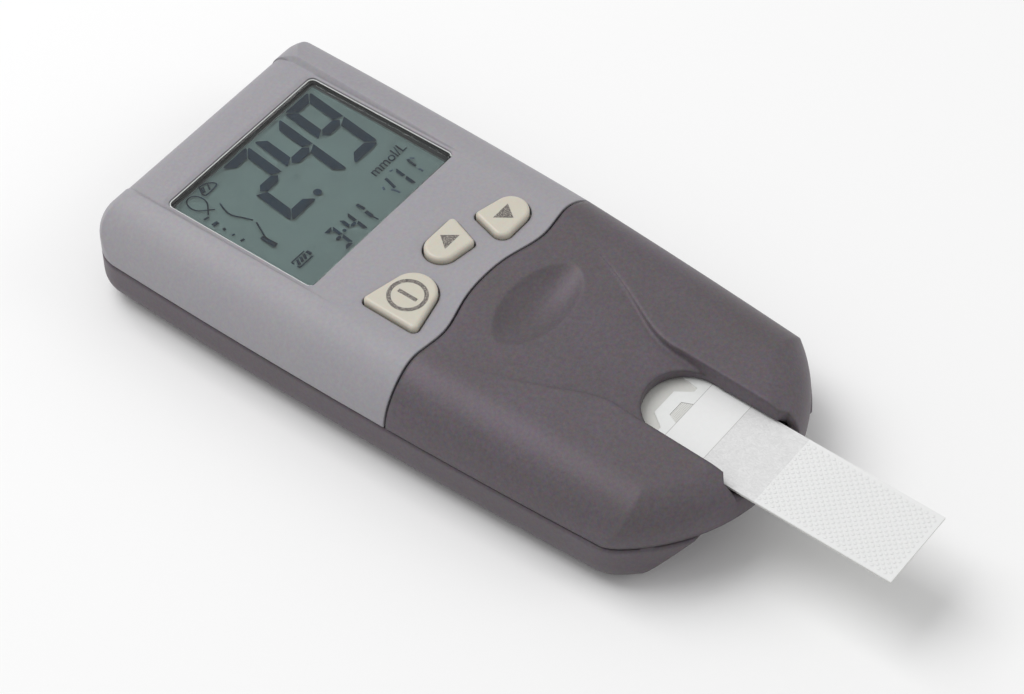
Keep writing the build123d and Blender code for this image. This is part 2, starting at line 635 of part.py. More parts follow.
def tongue():
    """Ring that stands inside the upper shells and keeps clear of their leaning walls."""
    ring = lip_ring(WALL + LIP_CLEARANCE, LIP_WALL, RIM_Z, BOSS_JOINT_Z)
    leaning_wall = cover_form() - cover_form(WALL + LIP_CLEARANCE / 2)
    return (ring & wave_region(False)) - leaning_wall + (ring & wave_region(True))


def door_blank(clearance):
    """Space of the battery door: outer half, and a wider inner half that runs in the groove."""
    start = DOOR_START_Y - clearance
    half = DOOR_HALF_WIDTH + clearance
    middle = FOOT_STANDOFF + WALL / 2
    outer_half = slab(-half, half, start, FAR, 0, DOOR_TOP_Z + clearance)
    tongue_drop = TONGUE_CLEARANCE if clearance else 0
    tongue_half = half + DOOR_TONGUE
    return outer_half + slab(
        -tongue_half, tongue_half, start, FAR, middle - tongue_drop, DOOR_TOP_Z + clearance,
    )


def battery_bay():
    """Ribs of the bottom case round the two cells."""
    side = DOOR_HALF_WIDTH + DOOR_TONGUE + DOOR_CLEARANCE
    top = BOARD_BOTTOM_Z - BAY_WALL_TOP
    bay = slab(-side - BAY_WALL, side + BAY_WALL, BAY_FRONT_Y - BAY_WALL, BAY_BACK_Y + BAY_WALL, FLOOR_Z, top)
    return bay - slab(-side, side, BAY_FRONT_Y, BAY_BACK_Y, 0, FAR)


def bottom_case():
    """Lower shell: tongue for the upper shells, screw bosses, battery bay, posts, foot recesses."""
    outer = base_form()
    rim_edges = outer.faces().sort_by(Axis.Z)[-1].edges()
    case = chamfer(rim_edges, RIM_CHAMFER) - base_form(WALL)
    case += lip_ring(WALL / 2, WALL / 2 + LIP_CLEARANCE + LIP_WALL, PARTING_Z - LIP_ROOT, RIM_Z)
    case += tongue()
    case += screw_bosses(FLOOR_Z, BOSS_JOINT_Z)
    case += battery_bay()
    for x, y in BOARD_SCREWS:
        case += rod(x, y, FLOOR_Z, BOARD_BOTTOM_Z, POST_R)
    for x, y in TRAY_SCREWS:
        case += rod(x, y, FLOOR_Z, TRAY_BOTTOM_Z, POST_R)
    for side in (-1, 1):
        case += catch(side)
        case += optics_rail(side)
    case -= door_blank(DOOR_CLEARANCE)
    for x, y in CASE_SCREWS:
        case -= rod(x, y, 0, SCREW_RECESS + SCREW_HEAD_THICK, SCREW_HEAD_R + SCREW_PLAY)
        case -= rod(x, y, 0, FAR, SCREW_R + SCREW_PLAY)
    for x, y in BOARD_SCREWS:
        case -= rod(x, y, BOARD_TOP_Z - SMALL_SCREW_LENGTH, FAR, SMALL_SCREW_R + THREAD_PLAY)
    for x, y in TRAY_SCREWS:
        case -= rod(x, y, TRAY_TOP_Z - SMALL_SCREW_LENGTH, FAR, SMALL_SCREW_R + THREAD_PLAY)
    for x, y in FEET:
        case -= rod(x, y, 0, FOOT_THICK, FOOT_R + THREAD_PLAY)
    return case


def catch(side):
    """Small snap nub in the shadow groove by the nose corner."""
    y = NOSE_CENTRE_Y - (NOSE_R ** 2 - CATCH_X ** 2) ** 0.5 + CATCH_DEPTH
    turn = degrees(asin(CATCH_X / NOSE_R))
    nub = Box(CATCH_WIDTH, CATCH_DEPTH, SHADOW_GAP - TONGUE_CLEARANCE)
    return Pos(side * CATCH_X, y, RIM_Z + (SHADOW_GAP - TONGUE_CLEARANCE) / 2) * Rot(0, 0, side * turn) * nub


def optics_rail(side):
    """Rib that carries one edge of the optics board."""
    x = side * (OPTICS_BOARD_HALF_WIDTH - BAY_WALL)
    y0, y1 = PAD_Y - OPTICS_BOARD_FRONT + BAY_WALL, PAD_Y + OPTICS_BOARD_BACK
    return slab(x - BAY_WALL / 2, x + BAY_WALL / 2, y0, y1, FLOOR_Z, OPTICS_BOARD_Z)


def battery_door():
    """Part of the bottom shell that slides off at the display end, with finger ridges."""
    door = (base_form() - base_form(WALL)) & door_blank(0)
    for i in range(GRIP_RIDGES):
        y = DOOR_START_Y + GRIP_FROM_DOOR_END + i * GRIP_PITCH
        half = GRIP_GROOVE_LENGTH / 2
        door -= slab(-half, half, y, y + GRIP_GROOVE, 0, FOOT_STANDOFF + GRIP_GROOVE_DEPTH)
    return door


def strip_tray():
    """Plate under the strip: guide rails, end stop, optics window seat; its front is rounded like the cover."""
    plate = slab(-TRAY_HALF_WIDTH, TRAY_HALF_WIDTH, TRAY_FRONT_Y, TRAY_REAR_Y, TRAY_BOTTOM_Z, TRAY_TOP_Z)
    lane = STRIP_WIDTH / 2 + GUIDE_CLEARANCE
    for side in (-1, 1):
        inner, outer = side * lane, side * (lane + GUIDE_WIDTH)
        plate += slab(
            min(inner, outer), max(inner, outer), TRAY_FRONT_Y, STRIP_INNER_Y, TRAY_BOTTOM_Z, GUIDE_TOP_Z,
        )
    stop_y = STRIP_INNER_Y + GUIDE_CLEARANCE
    plate += slab(-lane, lane, stop_y, stop_y + STOP_LENGTH, TRAY_BOTTOM_Z, GUIDE_TOP_Z)
    tray = plate & cover_form(WALL + TRAY_CLEARANCE)
    seat = EYE_SIDE / 2 + EYE_CLEARANCE
    tray -= slab(-seat, seat, PAD_Y - seat, PAD_Y + seat, TRAY_TOP_Z - EYE_THICK - EYE_CLEARANCE, FAR)
    hole = EYE_SIDE / 2 - EYE_LEDGE
    tray -= slab(-hole, hole, PAD_Y - hole, PAD_Y + hole, 0, FAR)
    for x, y in TRAY_SCREWS:
        tray -= rod(x, y, 0, FAR, SMALL_SCREW_R + SCREW_PLAY)
    return tray


def optics_window():
    """Clear square pane under the reaction pad."""
    return Pos(0, PAD_Y, TRAY_TOP_Z - EYE_THICK / 2 - EYE_CLEARANCE) * Box(EYE_SIDE, EYE_SIDE, EYE_THICK)


def light_tube(side):
    """Slanted bore from one light source to the reaction pad."""
    height = TRAY_BOTTOM_Z - OPTICS_BOARD_TOP_Z
    lean = degrees(atan(LED_X / height))
    return Pos(side * LED_X, PAD_Y, OPTICS_BOARD_TOP_Z) * Rot(0, -side * lean, 0) * Cylinder(
        LIGHT_TUBE_R, 2 * height, align=(Align.CENTER, Align.CENTER, Align.MIN),
    )


def optics_block():
    """Black block with a bore for the sensor and two slanted bores for the light sources."""
    height = TRAY_BOTTOM_Z - OPTICS_BOARD_TOP_Z
    block = Pos(0, PAD_Y, OPTICS_BOARD_TOP_Z + height / 2) * Box(OPTICS_WIDTH, OPTICS_LENGTH, height)
    block -= rod(0, PAD_Y, OPTICS_BOARD_TOP_Z, TRAY_BOTTOM_Z, LIGHT_TUBE_R)
    seat = SENSOR_SIDE + 2 * LED_PLAY
    block -= Pos(0, PAD_Y, OPTICS_BOARD_TOP_Z) * Box(seat, seat, 2 * (SENSOR_HEIGHT + LED_PLAY))
    seat_top = OPTICS_BOARD_TOP_Z + LED_HEIGHT + LED_PLAY
    for side in (-1, 1):
        block -= light_tube(side)
        block -= rod(side * LED_X, PAD_Y, OPTICS_BOARD_TOP_Z, seat_top, LED_R + LED_PLAY)
    return block


def light_sources():
    """Two light emitting diodes with domed tops."""
    leds = Part()
    for side in (-1, 1):
        straight = LED_HEIGHT - LED_R
        body = rod(side * LED_X, PAD_Y, OPTICS_BOARD_TOP_Z, OPTICS_BOARD_TOP_Z + straight, LED_R)
        leds += body + Pos(side * LED_X, PAD_Y, OPTICS_BOARD_TOP_Z + straight) * Sphere(LED_R)
    return leds


def light_sensor():
    """Photodiode on the optics board."""
    middle = OPTICS_BOARD_TOP_Z + SENSOR_HEIGHT / 2
    return Pos(0, PAD_Y, middle) * Box(SENSOR_SIDE, SENSOR_SIDE, SENSOR_HEIGHT)


def optics_board():
    """Small circuit board below the optics."""
    return slab(
        -OPTICS_BOARD_HALF_WIDTH, OPTICS_BOARD_HALF_WIDTH, PAD_Y - OPTICS_BOARD_FRONT,
        PAD_Y + OPTICS_BOARD_BACK, OPTICS_BOARD_Z, OPTICS_BOARD_TOP_Z,
    )


def board_link():
    """Pin header that joins the optics board to the main board above it."""
    y = PAD_Y + OPTICS_BOARD_BACK - HEADER_INSET
    half = HEADER_WIDTH / 2
    return slab(-half, half, y - HEADER_LENGTH / 2, y + HEADER_LENGTH / 2, OPTICS_BOARD_TOP_Z, BOARD_BOTTOM_Z)


def strip_layer(y0, y1, z0, z1):
    """Flat layer of the test strip over its full width."""
    return slab(-STRIP_WIDTH / 2, STRIP_WIDTH / 2, y0, y1, z0, z1)


def pad_outline(grow):
    """Trapezoid of the reaction pad, its wide side against the label."""
    wide, narrow = PAD_WIDTH / 2 + grow, PAD_NARROW_WIDTH / 2 + grow
    y0, y1 = LABEL_INNER_Y, LABEL_INNER_Y + PAD_LENGTH + grow
    return make_face(Polyline((-wide, y0), (wide, y0), (narrow, y1), (-narrow, y1), close=True))


def strip_film():
    """Thin film round the reaction pad, its inner edge cut to a blunt point between two tips."""
    half = STRIP_WIDTH / 2
    shoulder, peak = LABEL_INNER_Y + FILM_SHOULDER, LABEL_INNER_Y + FILM_PEAK
    outline = Polyline(
        (-half, LABEL_INNER_Y), (half, LABEL_INNER_Y), (half, peak), (FILM_TIP_X, shoulder),
        (FILM_PEAK_HALF_WIDTH, peak), (-FILM_PEAK_HALF_WIDTH, peak), (-FILM_TIP_X, shoulder), (-half, peak),
        close=True,
    )
    return extrude(Pos(0, 0, CARD_TOP_Z) * (make_face(outline) - pad_outline(PAD_GAP)), LAYER_THICK)


def reaction_pad():
    """Mesh pad that takes the drop of blood."""
    return extrude(Pos(0, 0, CARD_TOP_Z) * pad_outline(0), LAYER_THICK / 2)


def battery_cell(side):
    """AAA cell with its nub, the two cells pointing opposite ways."""
    x = side * CELL_SPACING / 2
    body = CELL_LENGTH - CELL_NUB_LENGTH
    cell = Pos(0, 0, -CELL_LENGTH / 2 + body / 2) * Cylinder(CELL_R, body)
    cell = chamfer(cell.edges(), CELL_CLEARANCE)
    cell += Pos(0, 0, CELL_LENGTH / 2 - CELL_NUB_LENGTH) * Cylinder(CELL_NUB_R, 2 * CELL_NUB_LENGTH)
    cell &= Box(4 * CELL_R, 4 * CELL_R, CELL_LENGTH)
    return Pos(x, CELL_FRONT_Y + CELL_LENGTH / 2, CELL_Z) * Rot(90 * side, 0, 0) * cell


def contact_leaf(x):
    """Bent spring leaf in front of one cell."""
    y0 = BAY_FRONT_Y
    low, high = CELL_Z - CELL_R / 2, CELL_Z + CELL_R / 2
    y1 = y0 + CONTACT_THICK
    tip = y1 + CONTACT_SPRING
    bend = Polyline(
        (y0, high), (y1, high), (y1, low + CONTACT_SPRING), (tip, CELL_Z), (tip, CELL_Z - CONTACT_THICK),
        (y1, low), (y0, low), close=True,
    )
    return Pos(x, 0, 0) * extrude(make_face(Plane.YZ * bend), CONTACT_WIDTH / 2, both=True)


def contact_leaves():
    """The two spring leaves at the button side of the battery bay."""
    return Part() + [contact_leaf(side * CELL_SPACING / 2) for side in (-1, 1)]


def contact_bridge():
    """Plate that joins the two cells at the display side."""
    half = CELL_SPACING / 2 + CONTACT_WIDTH / 2
    y = CELL_BACK_Y + CONTACT_GAP
    return slab(-half, half, y, y + CONTACT_THICK, CELL_Z - CELL_R / 2, CELL_Z + CELL_R / 2)


def screw(x, y, seat_z, tip_z, radius, head_r, head_thick):
    """Screw with its head at the seat and its shank running to the tip."""
    down = 1 if seat_z > tip_z else -1
    low, high = min(seat_z, tip_z), max(seat_z, tip_z)
    head = sorted((seat_z, seat_z + down * head_thick))
    return rod(x, y, low, high, radius) + rod(x, y, head[0], head[1], head_r)


def case_screws():
    """Four screws that come up from below into the top case."""
    seat = SCREW_RECESS + SCREW_HEAD_THICK
    return Part() + [
        screw(x, y, seat, seat + SCREW_LENGTH - THREAD_PLAY, SCREW_R, SCREW_HEAD_R, SCREW_HEAD_THICK)
        for x, y in CASE_SCREWS
    ]


def small_screws(places, seat):
    """Group of equal small screws, heads up."""
    tip = seat - SMALL_SCREW_LENGTH + THREAD_PLAY
    return Part() + [
        screw(x, y, seat, tip, SMALL_SCREW_R, SMALL_HEAD_R, SMALL_HEAD_THICK) for x, y in places
    ]


def rubber_feet():
    """Four round feet in their recesses."""
    feet = Part()
    for x, y in FEET:
        foot = rod(x, y, 0, FOOT_THICK, FOOT_R)
        feet += chamfer(foot.faces().sort_by(Axis.Z)[0].edges(), FOOT_STANDOFF / 2)
    return feet


def all_parts():
    """Every node of the meter by name."""
    parts = {
        "top_case": top_case(),
        "front_cover": front_cover(),
        "bottom_case": bottom_case(),
        "battery_door": battery_door(),
        "display_lens": display_lens(),
        "display_surround": display_surround(),
        "lcd_panel": lcd_panel(),
        "lcd_holder": lcd_holder(),
        "lcd_contact_strip": zebra_slot(0),
        "main_board": main_board(),
        "microcontroller": microcontroller(),
        "buzzer": buzzer(),
        "strip_tray": strip_tray(),
        "optics_window": optics_window(),
        "optics_block": optics_block(),
        "light_sources": light_sources(),
        "light_sensor": light_sensor(),
        "optics_board": optics_board(),
        "board_link": board_link(),
        "strip_card": strip_layer(STRIP_END_Y, STRIP_INNER_Y, STRIP_BOTTOM_Z, CARD_TOP_Z),
        "strip_grip": strip_layer(STRIP_END_Y, GRIP_INNER_Y, CARD_TOP_Z, STRIP_TOP_Z),
        "strip_paper": strip_layer(GRIP_INNER_Y, PAPER_INNER_Y, CARD_TOP_Z, STRIP_TOP_Z),
        "strip_label": strip_layer(PAPER_INNER_Y, LABEL_INNER_Y, CARD_TOP_Z, STRIP_TOP_Z),
        "strip_film": strip_film(),
        "reaction_pad": reaction_pad(),
        "battery_left": battery_cell(-1),
        "battery_right": battery_cell(1),
        "contact_leaves": contact_leaves(),
        "contact_bridge": contact_bridge(),
        "case_screws": case_screws(),
        "board_screws": small_screws(BOARD_SCREWS, BOARD_TOP_Z),
        "tray_screws": small_screws(TRAY_SCREWS, TRAY_TOP_Z),
        "rubber_feet": rubber_feet(),
    }
    for name in KEYS:
        parts[f"{name}_button"] = push_button(name)
        parts[f"{name}_dome"] = rubber_dome(name)
    return parts


def main():
    """Write one STEP file for each piece."""
    os.makedirs("parts", exist_ok=True)
    for name, shape in all_parts().items():
        export_step(shape, f"parts/{name}.step")


main()
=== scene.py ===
# %% [markdown]
# # A hand-held hemoglobin meter
# The meter is a small moulded plastic case with a display window, three cream buttons and a paper-like
# test strip in a slot at its front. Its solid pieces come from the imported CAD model, which loads as a
# fixed frame. This script adds what the solids lack: the marks on the display, the printed signs, the
# soft domes, the strip's surface and every finish.

# %% Load the solids
import math

import bpy
from mathutils import Matrix, Vector


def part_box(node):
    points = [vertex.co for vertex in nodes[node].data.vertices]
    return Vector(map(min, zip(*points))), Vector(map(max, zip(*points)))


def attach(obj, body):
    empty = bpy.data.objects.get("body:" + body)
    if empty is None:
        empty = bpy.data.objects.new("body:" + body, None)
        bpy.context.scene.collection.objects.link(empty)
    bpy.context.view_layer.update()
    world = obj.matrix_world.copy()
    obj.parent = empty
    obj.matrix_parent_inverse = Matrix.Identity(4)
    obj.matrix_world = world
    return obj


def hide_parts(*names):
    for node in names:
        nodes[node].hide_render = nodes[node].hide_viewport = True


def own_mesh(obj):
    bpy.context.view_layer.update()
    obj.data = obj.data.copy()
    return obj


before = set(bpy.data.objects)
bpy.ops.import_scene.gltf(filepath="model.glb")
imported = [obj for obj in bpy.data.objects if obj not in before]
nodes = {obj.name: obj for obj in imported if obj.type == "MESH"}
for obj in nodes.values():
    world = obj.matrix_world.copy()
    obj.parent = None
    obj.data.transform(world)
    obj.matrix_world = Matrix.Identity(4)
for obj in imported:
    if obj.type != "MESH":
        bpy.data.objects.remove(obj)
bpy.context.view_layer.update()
MM = 0.001

# %% [markdown]
# ## Camera, floor and light
# The photograph looks down on the meter from its front left, from a little over half a metre away with
# a long lens. The place of the camera was worked out from the straight edges of the window. The object
# lies on a white sweep under two soft lights and an even surround, so the shadows are faint and the
# plastic shows only broad, quiet highlights.

# %% Camera at the photograph's angle
CAMERA_EYE = Vector((-286.4, -227.5, 436.0)) * MM
CAMERA_FORWARD = Vector((0.51050, 0.39119, -0.76574))
CAMERA_RIGHT = Vector((0.60830, -0.79380, 0.0))
CAMERA_LENS = 112.72


def add_camera():
    """Camera whose right and forward directions are known."""
    camera = bpy.data.objects.new("camera", bpy.data.cameras.new("camera"))
    bpy.context.scene.collection.objects.link(camera)
    up = CAMERA_RIGHT.cross(CAMERA_FORWARD)
    turn = Matrix((CAMERA_RIGHT, up, -CAMERA_FORWARD)).transposed().to_4x4()
    camera.matrix_world = Matrix.Translation(CAMERA_EYE) @ turn
    camera.data.lens = CAMERA_LENS
    camera.data.sensor_width = 36
    camera.data.clip_start = 0.01
    bpy.context.scene.camera = camera
    return camera


camera = add_camera()
print("camera at", [round(c, 3) for c in camera.location])


# %% Helpers for every material
def new_material(name):
    """Empty node material with its shader and output."""
    material = bpy.data.materials.new(name)
    material.use_nodes = True
    tree = material.node_tree
    return material, tree, tree.nodes["Principled BSDF"]


def add_node(tree, kind, **settings):
    """One shader node with its properties and its unlinked inputs set."""
    node = tree.nodes.new(kind)
    for key, value in settings.pop("inputs", {}).items():
        node.inputs[key].default_value = value
    for key, value in settings.items():
        setattr(node, key, value)
    return node


def dress(material, *names):
    """Give CAD pieces a finish."""
    for name in names:
        slots = nodes[name].material_slots
        for slot in slots:
            slot.material = material
        if not slots:
            nodes[name].data.materials.append(material)


print("material helpers for", len(nodes), "pieces")


# %% White sweep under the meter
def add_floor():
    """Very large pale floor, level with the rubber feet."""
    bpy.ops.object.select_all(action="DESELECT")
    bpy.ops.mesh.primitive_grid_add(x_subdivisions=8, y_subdivisions=8, size=6, location=(0, 0, 0))
    floor = bpy.context.object
    floor.name = "floor"
    material, tree, shader = new_material("sweep_paper")
    shader.inputs["Base Color"].default_value = (0.93, 0.93, 0.93, 1)
    shader.inputs["Roughness"].default_value = 0.9
    shader.inputs["Specular IOR Level"].default_value = 0.1
    floor.data.materials.append(material)
    return floor


floor = add_floor()
print("floor", [round(s, 2) for s in floor.dimensions])


# %% Soft studio light
def add_softbox(name, place, size, power):
    """Square area light that faces the meter; place and size in metres."""
    light = bpy.data.lights.new(name, "AREA")
    light.shape = "SQUARE"
    light.size = size
    light.energy = power
    lamp = bpy.data.objects.new(name, light)
    bpy.context.scene.collection.objects.link(lamp)
    lamp.location = place
    lamp.rotation_euler = (-Vector(place)).to_track_quat("-Z", "Y").to_euler()


def light_sky(strength):
    """Even white surround."""
    world = bpy.data.worlds.new("studio")
    bpy.context.scene.world = world
    world.use_nodes = True
    background = world.node_tree.nodes["Background"]
    background.inputs["Color"].default_value = (1, 1, 1, 1)
    background.inputs["Strength"].default_value = strength


add_softbox("top_light", place=(-0.10, 0.55, 0.95), size=0.8, power=7.4)
add_softbox("front_fill", place=(0.5, -0.7, 0.55), size=0.6, power=1.25)
light_sky(strength=0.52)
bpy.context.scene.view_settings.view_transform = "Standard"
print("two soft lights and an even surround")

# %% [markdown]
# ## Moulded skin
# Injection-moulded cases are spark-eroded in the tool, which leaves a fine matt grain. A shader node
# group makes that grain once: a fine noise for the height of the grain, a broad and faint cloudiness of
# the colour, specks of slightly different hue, and a roughness that varies a little with a coarser
# speck. Each plastic then places the group with its own colour and sizes.


# %% Node group for a grained surface
def make_grain_group():
    """Group with a base colour in, and colour, roughness and height out."""
    group = bpy.data.node_groups.new("moulded_grain", "ShaderNodeTree")
    for name, kind, value in (
        ("Color", "NodeSocketColor", (0.5, 0.5, 0.5, 1)),
        ("Tint", "NodeSocketColor", (0.5, 0.45, 0.5, 1)),
        ("Tint Amount", "NodeSocketFloat", 0.1),
        ("Grain Scale", "NodeSocketFloat", 3200.0),
        ("Roughness", "NodeSocketFloat", 0.5),
        ("Roughness Spread", "NodeSocketFloat", 0.1),
        ("Speckle", "NodeSocketFloat", 0.08),
    ):
        group.interface.new_socket(name, in_out="INPUT", socket_type=kind).default_value = value
    for name, kind in (
        ("Color", "NodeSocketColor"),
        ("Roughness", "NodeSocketFloat"),
        ("Height", "NodeSocketFloat"),
    ):
        group.interface.new_socket(name, in_out="OUTPUT", socket_type=kind)
    into = add_node(group, "NodeGroupInput")
    out = add_node(group, "NodeGroupOutput")
    place = add_node(group, "ShaderNodeTexCoord")
    grain = add_node(group, "ShaderNodeTexNoise", inputs={"Detail": 3.0, "Roughness": 0.6})
    cloud = add_node(group, "ShaderNodeTexNoise", inputs={"Scale": 70.0, "Detail": 4.0})
    speck = add_node(group, "ShaderNodeTexNoise", inputs={"Scale": 1100.0, "Detail": 2.0})
    hue = add_node(group, "ShaderNodeTexNoise", inputs={"Scale": 1700.0, "Detail": 3.0, "Roughness": 0.7})
    join = group.links.new
    for noise in (grain, cloud, speck, hue):
        join(place.outputs["Object"], noise.inputs["Vector"])
    join(into.outputs["Grain Scale"], grain.inputs["Scale"])
    both = add_node(group, "ShaderNodeMath", operation="MULTIPLY")
    join(cloud.outputs["Fac"], both.inputs[0])
    join(speck.outputs["Fac"], both.inputs[1])
    share = add_node(group, "ShaderNodeMapRange", inputs={"From Min": 0.12, "From Max": 0.42})
    join(both.outputs[0], share.inputs["Value"])
    amount = add_node(group, "ShaderNodeMath", operation="MULTIPLY")
    join(share.outputs["Result"], amount.inputs[0])
    join(into.outputs["Tint Amount"], amount.inputs[1])
    blend = add_node(group, "ShaderNodeMix", data_type="RGBA")
    join(amount.outputs[0], blend.inputs["Factor"])
    join(into.outputs["Color"], blend.inputs["A"])
    join(into.outputs["Tint"], blend.inputs["B"])
    sand = add_node(group, "ShaderNodeMix", data_type="RGBA", blend_type="OVERLAY")
    join(into.outputs["Speckle"], sand.inputs["Factor"])
    join(blend.outputs["Result"], sand.inputs["A"])
    join(hue.outputs["Color"], sand.inputs["B"])
    join(sand.outputs["Result"], out.inputs["Color"])
    centred = add_node(group, "ShaderNodeMath", operation="SUBTRACT", inputs={1: 0.5})
    join(speck.outputs["Fac"], centred.inputs[0])
    rough = add_node(group, "ShaderNodeMath", operation="MULTIPLY_ADD")
    join(centred.outputs[0], rough.inputs[0])
    join(into.outputs["Roughness Spread"], rough.inputs[1])
    join(into.outputs["Roughness"], rough.inputs[2])
    join(rough.outputs[0], out.inputs["Roughness"])
    join(grain.outputs["Fac"], out.inputs["Height"])
    return group


grain_group = make_grain_group()
print("group sockets", [s.name for s in grain_group.interface.items_tree])


# %% One helper for all grained plastics
ROUGHNESS_SPREAD = 0.12


def grained(
    name, color, tint, tint_amount=0.25, grain_scale=3200, depth=0.02, roughness=0.5, speckle=0.08,
    soften=0, **shader_values,
):
    """Plastic, rubber, lacquer, ink or metal with a grain; depth and soften in millimetres."""
    material, tree, shader = new_material(name)
    skin = add_node(tree, "ShaderNodeGroup", node_tree=grain_group)
    for socket, value in (
        ("Color", (*color, 1)),
        ("Tint", (*tint, 1)),
        ("Tint Amount", tint_amount),
        ("Grain Scale", grain_scale),
        ("Roughness", roughness),
        ("Roughness Spread", ROUGHNESS_SPREAD),
        ("Speckle", speckle),
    ):
        skin.inputs[socket].default_value = value
    bump = add_node(tree, "ShaderNodeBump", inputs={"Distance": depth * MM, "Strength": 0.6})
    tree.links.new(skin.outputs["Color"], shader.inputs["Base Color"])
    tree.links.new(skin.outputs["Roughness"], shader.inputs["Roughness"])
    tree.links.new(skin.outputs["Height"], bump.inputs["Height"])
    tree.links.new(bump.outputs["Normal"], shader.inputs["Normal"])
    if soften:
        rounding = add_node(tree, "ShaderNodeBevel", samples=8, inputs={"Radius": soften * MM})
        tree.links.new(rounding.outputs["Normal"], bump.inputs["Normal"])
    for key, value in shader_values.items():
        shader.inputs[key.replace("_", " ")].default_value = value
    return material


print("grained plastics, roughness spread", ROUGHNESS_SPREAD)

# %% [markdown]
# ## The case
# The upper shell is light grey, the cover and the bottom are a dark warm grey with a violet cast in the
# highlights. Both have a spark-eroded grain. The dark one is coarser and a touch shinier, so its rolled
# edges catch the light. A bevel node turns the shading over each edge, which looks like a small radius
# without any new faces.

# %% Light and dark shells
light_grey = grained(
    "light_grey_abs", (0.325, 0.312, 0.333), (0.297, 0.288, 0.322), 0.6, roughness=0.55, speckle=0.2,
    soften=0.5,
)
dark_grey = grained(
    "dark_grey_abs", (0.093, 0.083, 0.085), (0.114, 0.098, 0.116), 0.8, grain_scale=2400, roughness=0.48,
    depth=0.045, speckle=0.5, soften=1.2, Specular_Tint=(1.0, 0.84, 1.0, 1),
)
dress(light_grey, "top_case")
dress(dark_grey, "front_cover", "bottom_case", "battery_door")
print("shells", light_grey.name, dark_grey.name)

# %% [markdown]
# ## Buttons
# The caps are cream, with a satin gloss and slightly rounded edges. They let a little light in, which a
# small subsurface share gives. The domes under them are plain silicone.

# %% Cream caps and silicone domes
cream = grained(
    "cream_abs", (0.588, 0.553, 0.469), (0.62, 0.585, 0.505), 0.4, grain_scale=2400, depth=0.008,
    roughness=0.36, Subsurface_Weight=0.12, Subsurface_Scale=0.002,
)
silicone = grained(
    "silicone", (0.55, 0.55, 0.53), (0.6, 0.6, 0.58), roughness=0.45, Subsurface_Weight=0.3,
)
dress(cream, "power_button", "up_button", "down_button")
print("buttons", cream.name)

# %% [markdown]
# The silicone domes give way when a button is pressed. Here each is a hollow piece in the place of the
# solid one: a flange with a hollow cone drawn up from it.


# %% Hollow domes
DOME_WALL, DOME_FLANGE = 0.4 * MM, 0.7 * MM
DOME_FOOT_RADIUS, DOME_TOP_RADIUS = 3.0 * MM, 2.0 * MM


def select_flat(piece, up):
    """Select the level faces of a piece that look up (1) or down (-1)."""
    bpy.ops.object.mode_set(mode="EDIT")
    bpy.ops.mesh.select_mode(type="FACE")
    bpy.ops.mesh.select_all(action="DESELECT")
    bpy.ops.object.mode_set(mode="OBJECT")
    for face in piece.data.polygons:
        face.select = face.normal.z * up > 0.9
    bpy.ops.object.mode_set(mode="EDIT")


def draw_cone(height, inside):
    """Step the chosen face in, then draw it up into a cone whose radii are smaller by inside."""
    top_share = (DOME_TOP_RADIUS - inside) / (DOME_FOOT_RADIUS - inside)
    bpy.ops.mesh.inset(thickness=DOME_FLANGE + inside)
    bpy.ops.mesh.extrude_region_move(TRANSFORM_OT_translate={"value": (0, 0, height)})
    bpy.ops.transform.resize(value=(top_share, top_share, 1))


def soft_dome(key):
    """Hollow dome in the place of the solid one."""
    low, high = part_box(key + "_dome")
    outer, rise = (high.x - low.x) / 2, high.z - low.z - DOME_WALL
    bpy.ops.object.select_all(action="DESELECT")
    bpy.ops.mesh.primitive_cylinder_add(vertices=48, radius=outer, depth=DOME_WALL, location=(0, 0, 0))
    dome = bpy.context.object
    select_flat(dome, 1)
    draw_cone(rise, 0)
    select_flat(dome, -1)
    draw_cone(rise, DOME_WALL)
    bpy.ops.object.mode_set(mode="OBJECT")
    centre = (low + high) / 2
    dome.data.transform(Matrix.Translation((centre.x, centre.y, low.z + DOME_WALL / 2)))
    dome.name = key + "_soft_dome"
    dome.data.name = dome.name
    dome.data.materials.append(silicone)
    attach(dome, "housing")
    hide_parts(key + "_dome")
    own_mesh(dome)
    return dome


soft_domes = [soft_dome(key) for key in ("power", "up", "down")]
print("domes", [dome.name for dome in soft_domes])

# %% [markdown]
# ## Display
# A reflective liquid crystal display looks like grey-green card behind glass. Its marks are dark,
# slightly blue and float just above the reflector, so each has a soft shadow. The clear lens above it
# is thin moulded plastic.


# %% Display glass and clear lens
def make_display_glass():
    """Grey-green reflector with a faint cloud and hardly any gloss."""
    material, tree, shader = new_material("display_reflector")
    place = add_node(tree, "ShaderNodeTexCoord")
    cloud = add_node(tree, "ShaderNodeTexNoise", inputs={"Scale": 45.0, "Detail": 5.0, "Roughness": 0.55})
    fine = add_node(tree, "ShaderNodeTexNoise", inputs={"Scale": 2600.0, "Detail": 1.0})
    both = add_node(tree, "ShaderNodeMix", data_type="FLOAT", inputs={"Factor": 0.3})
    blend = add_node(tree, "ShaderNodeMix", data_type="RGBA")
    blend.inputs["A"].default_value = (0.212, 0.325, 0.326, 1)
    blend.inputs["B"].default_value = (0.252, 0.365, 0.360, 1)
    tree.links.new(place.outputs["Object"], cloud.inputs["Vector"])
    tree.links.new(place.outputs["Object"], fine.inputs["Vector"])
    tree.links.new(cloud.outputs["Fac"], both.inputs["A"])
    tree.links.new(fine.outputs["Fac"], both.inputs["B"])
    tree.links.new(both.outputs["Result"], blend.inputs["Factor"])
    tree.links.new(blend.outputs["Result"], shader.inputs["Base Color"])
    shader.inputs["Roughness"].default_value = 0.45
    shader.inputs["Specular IOR Level"].default_value = 0.15
    return material


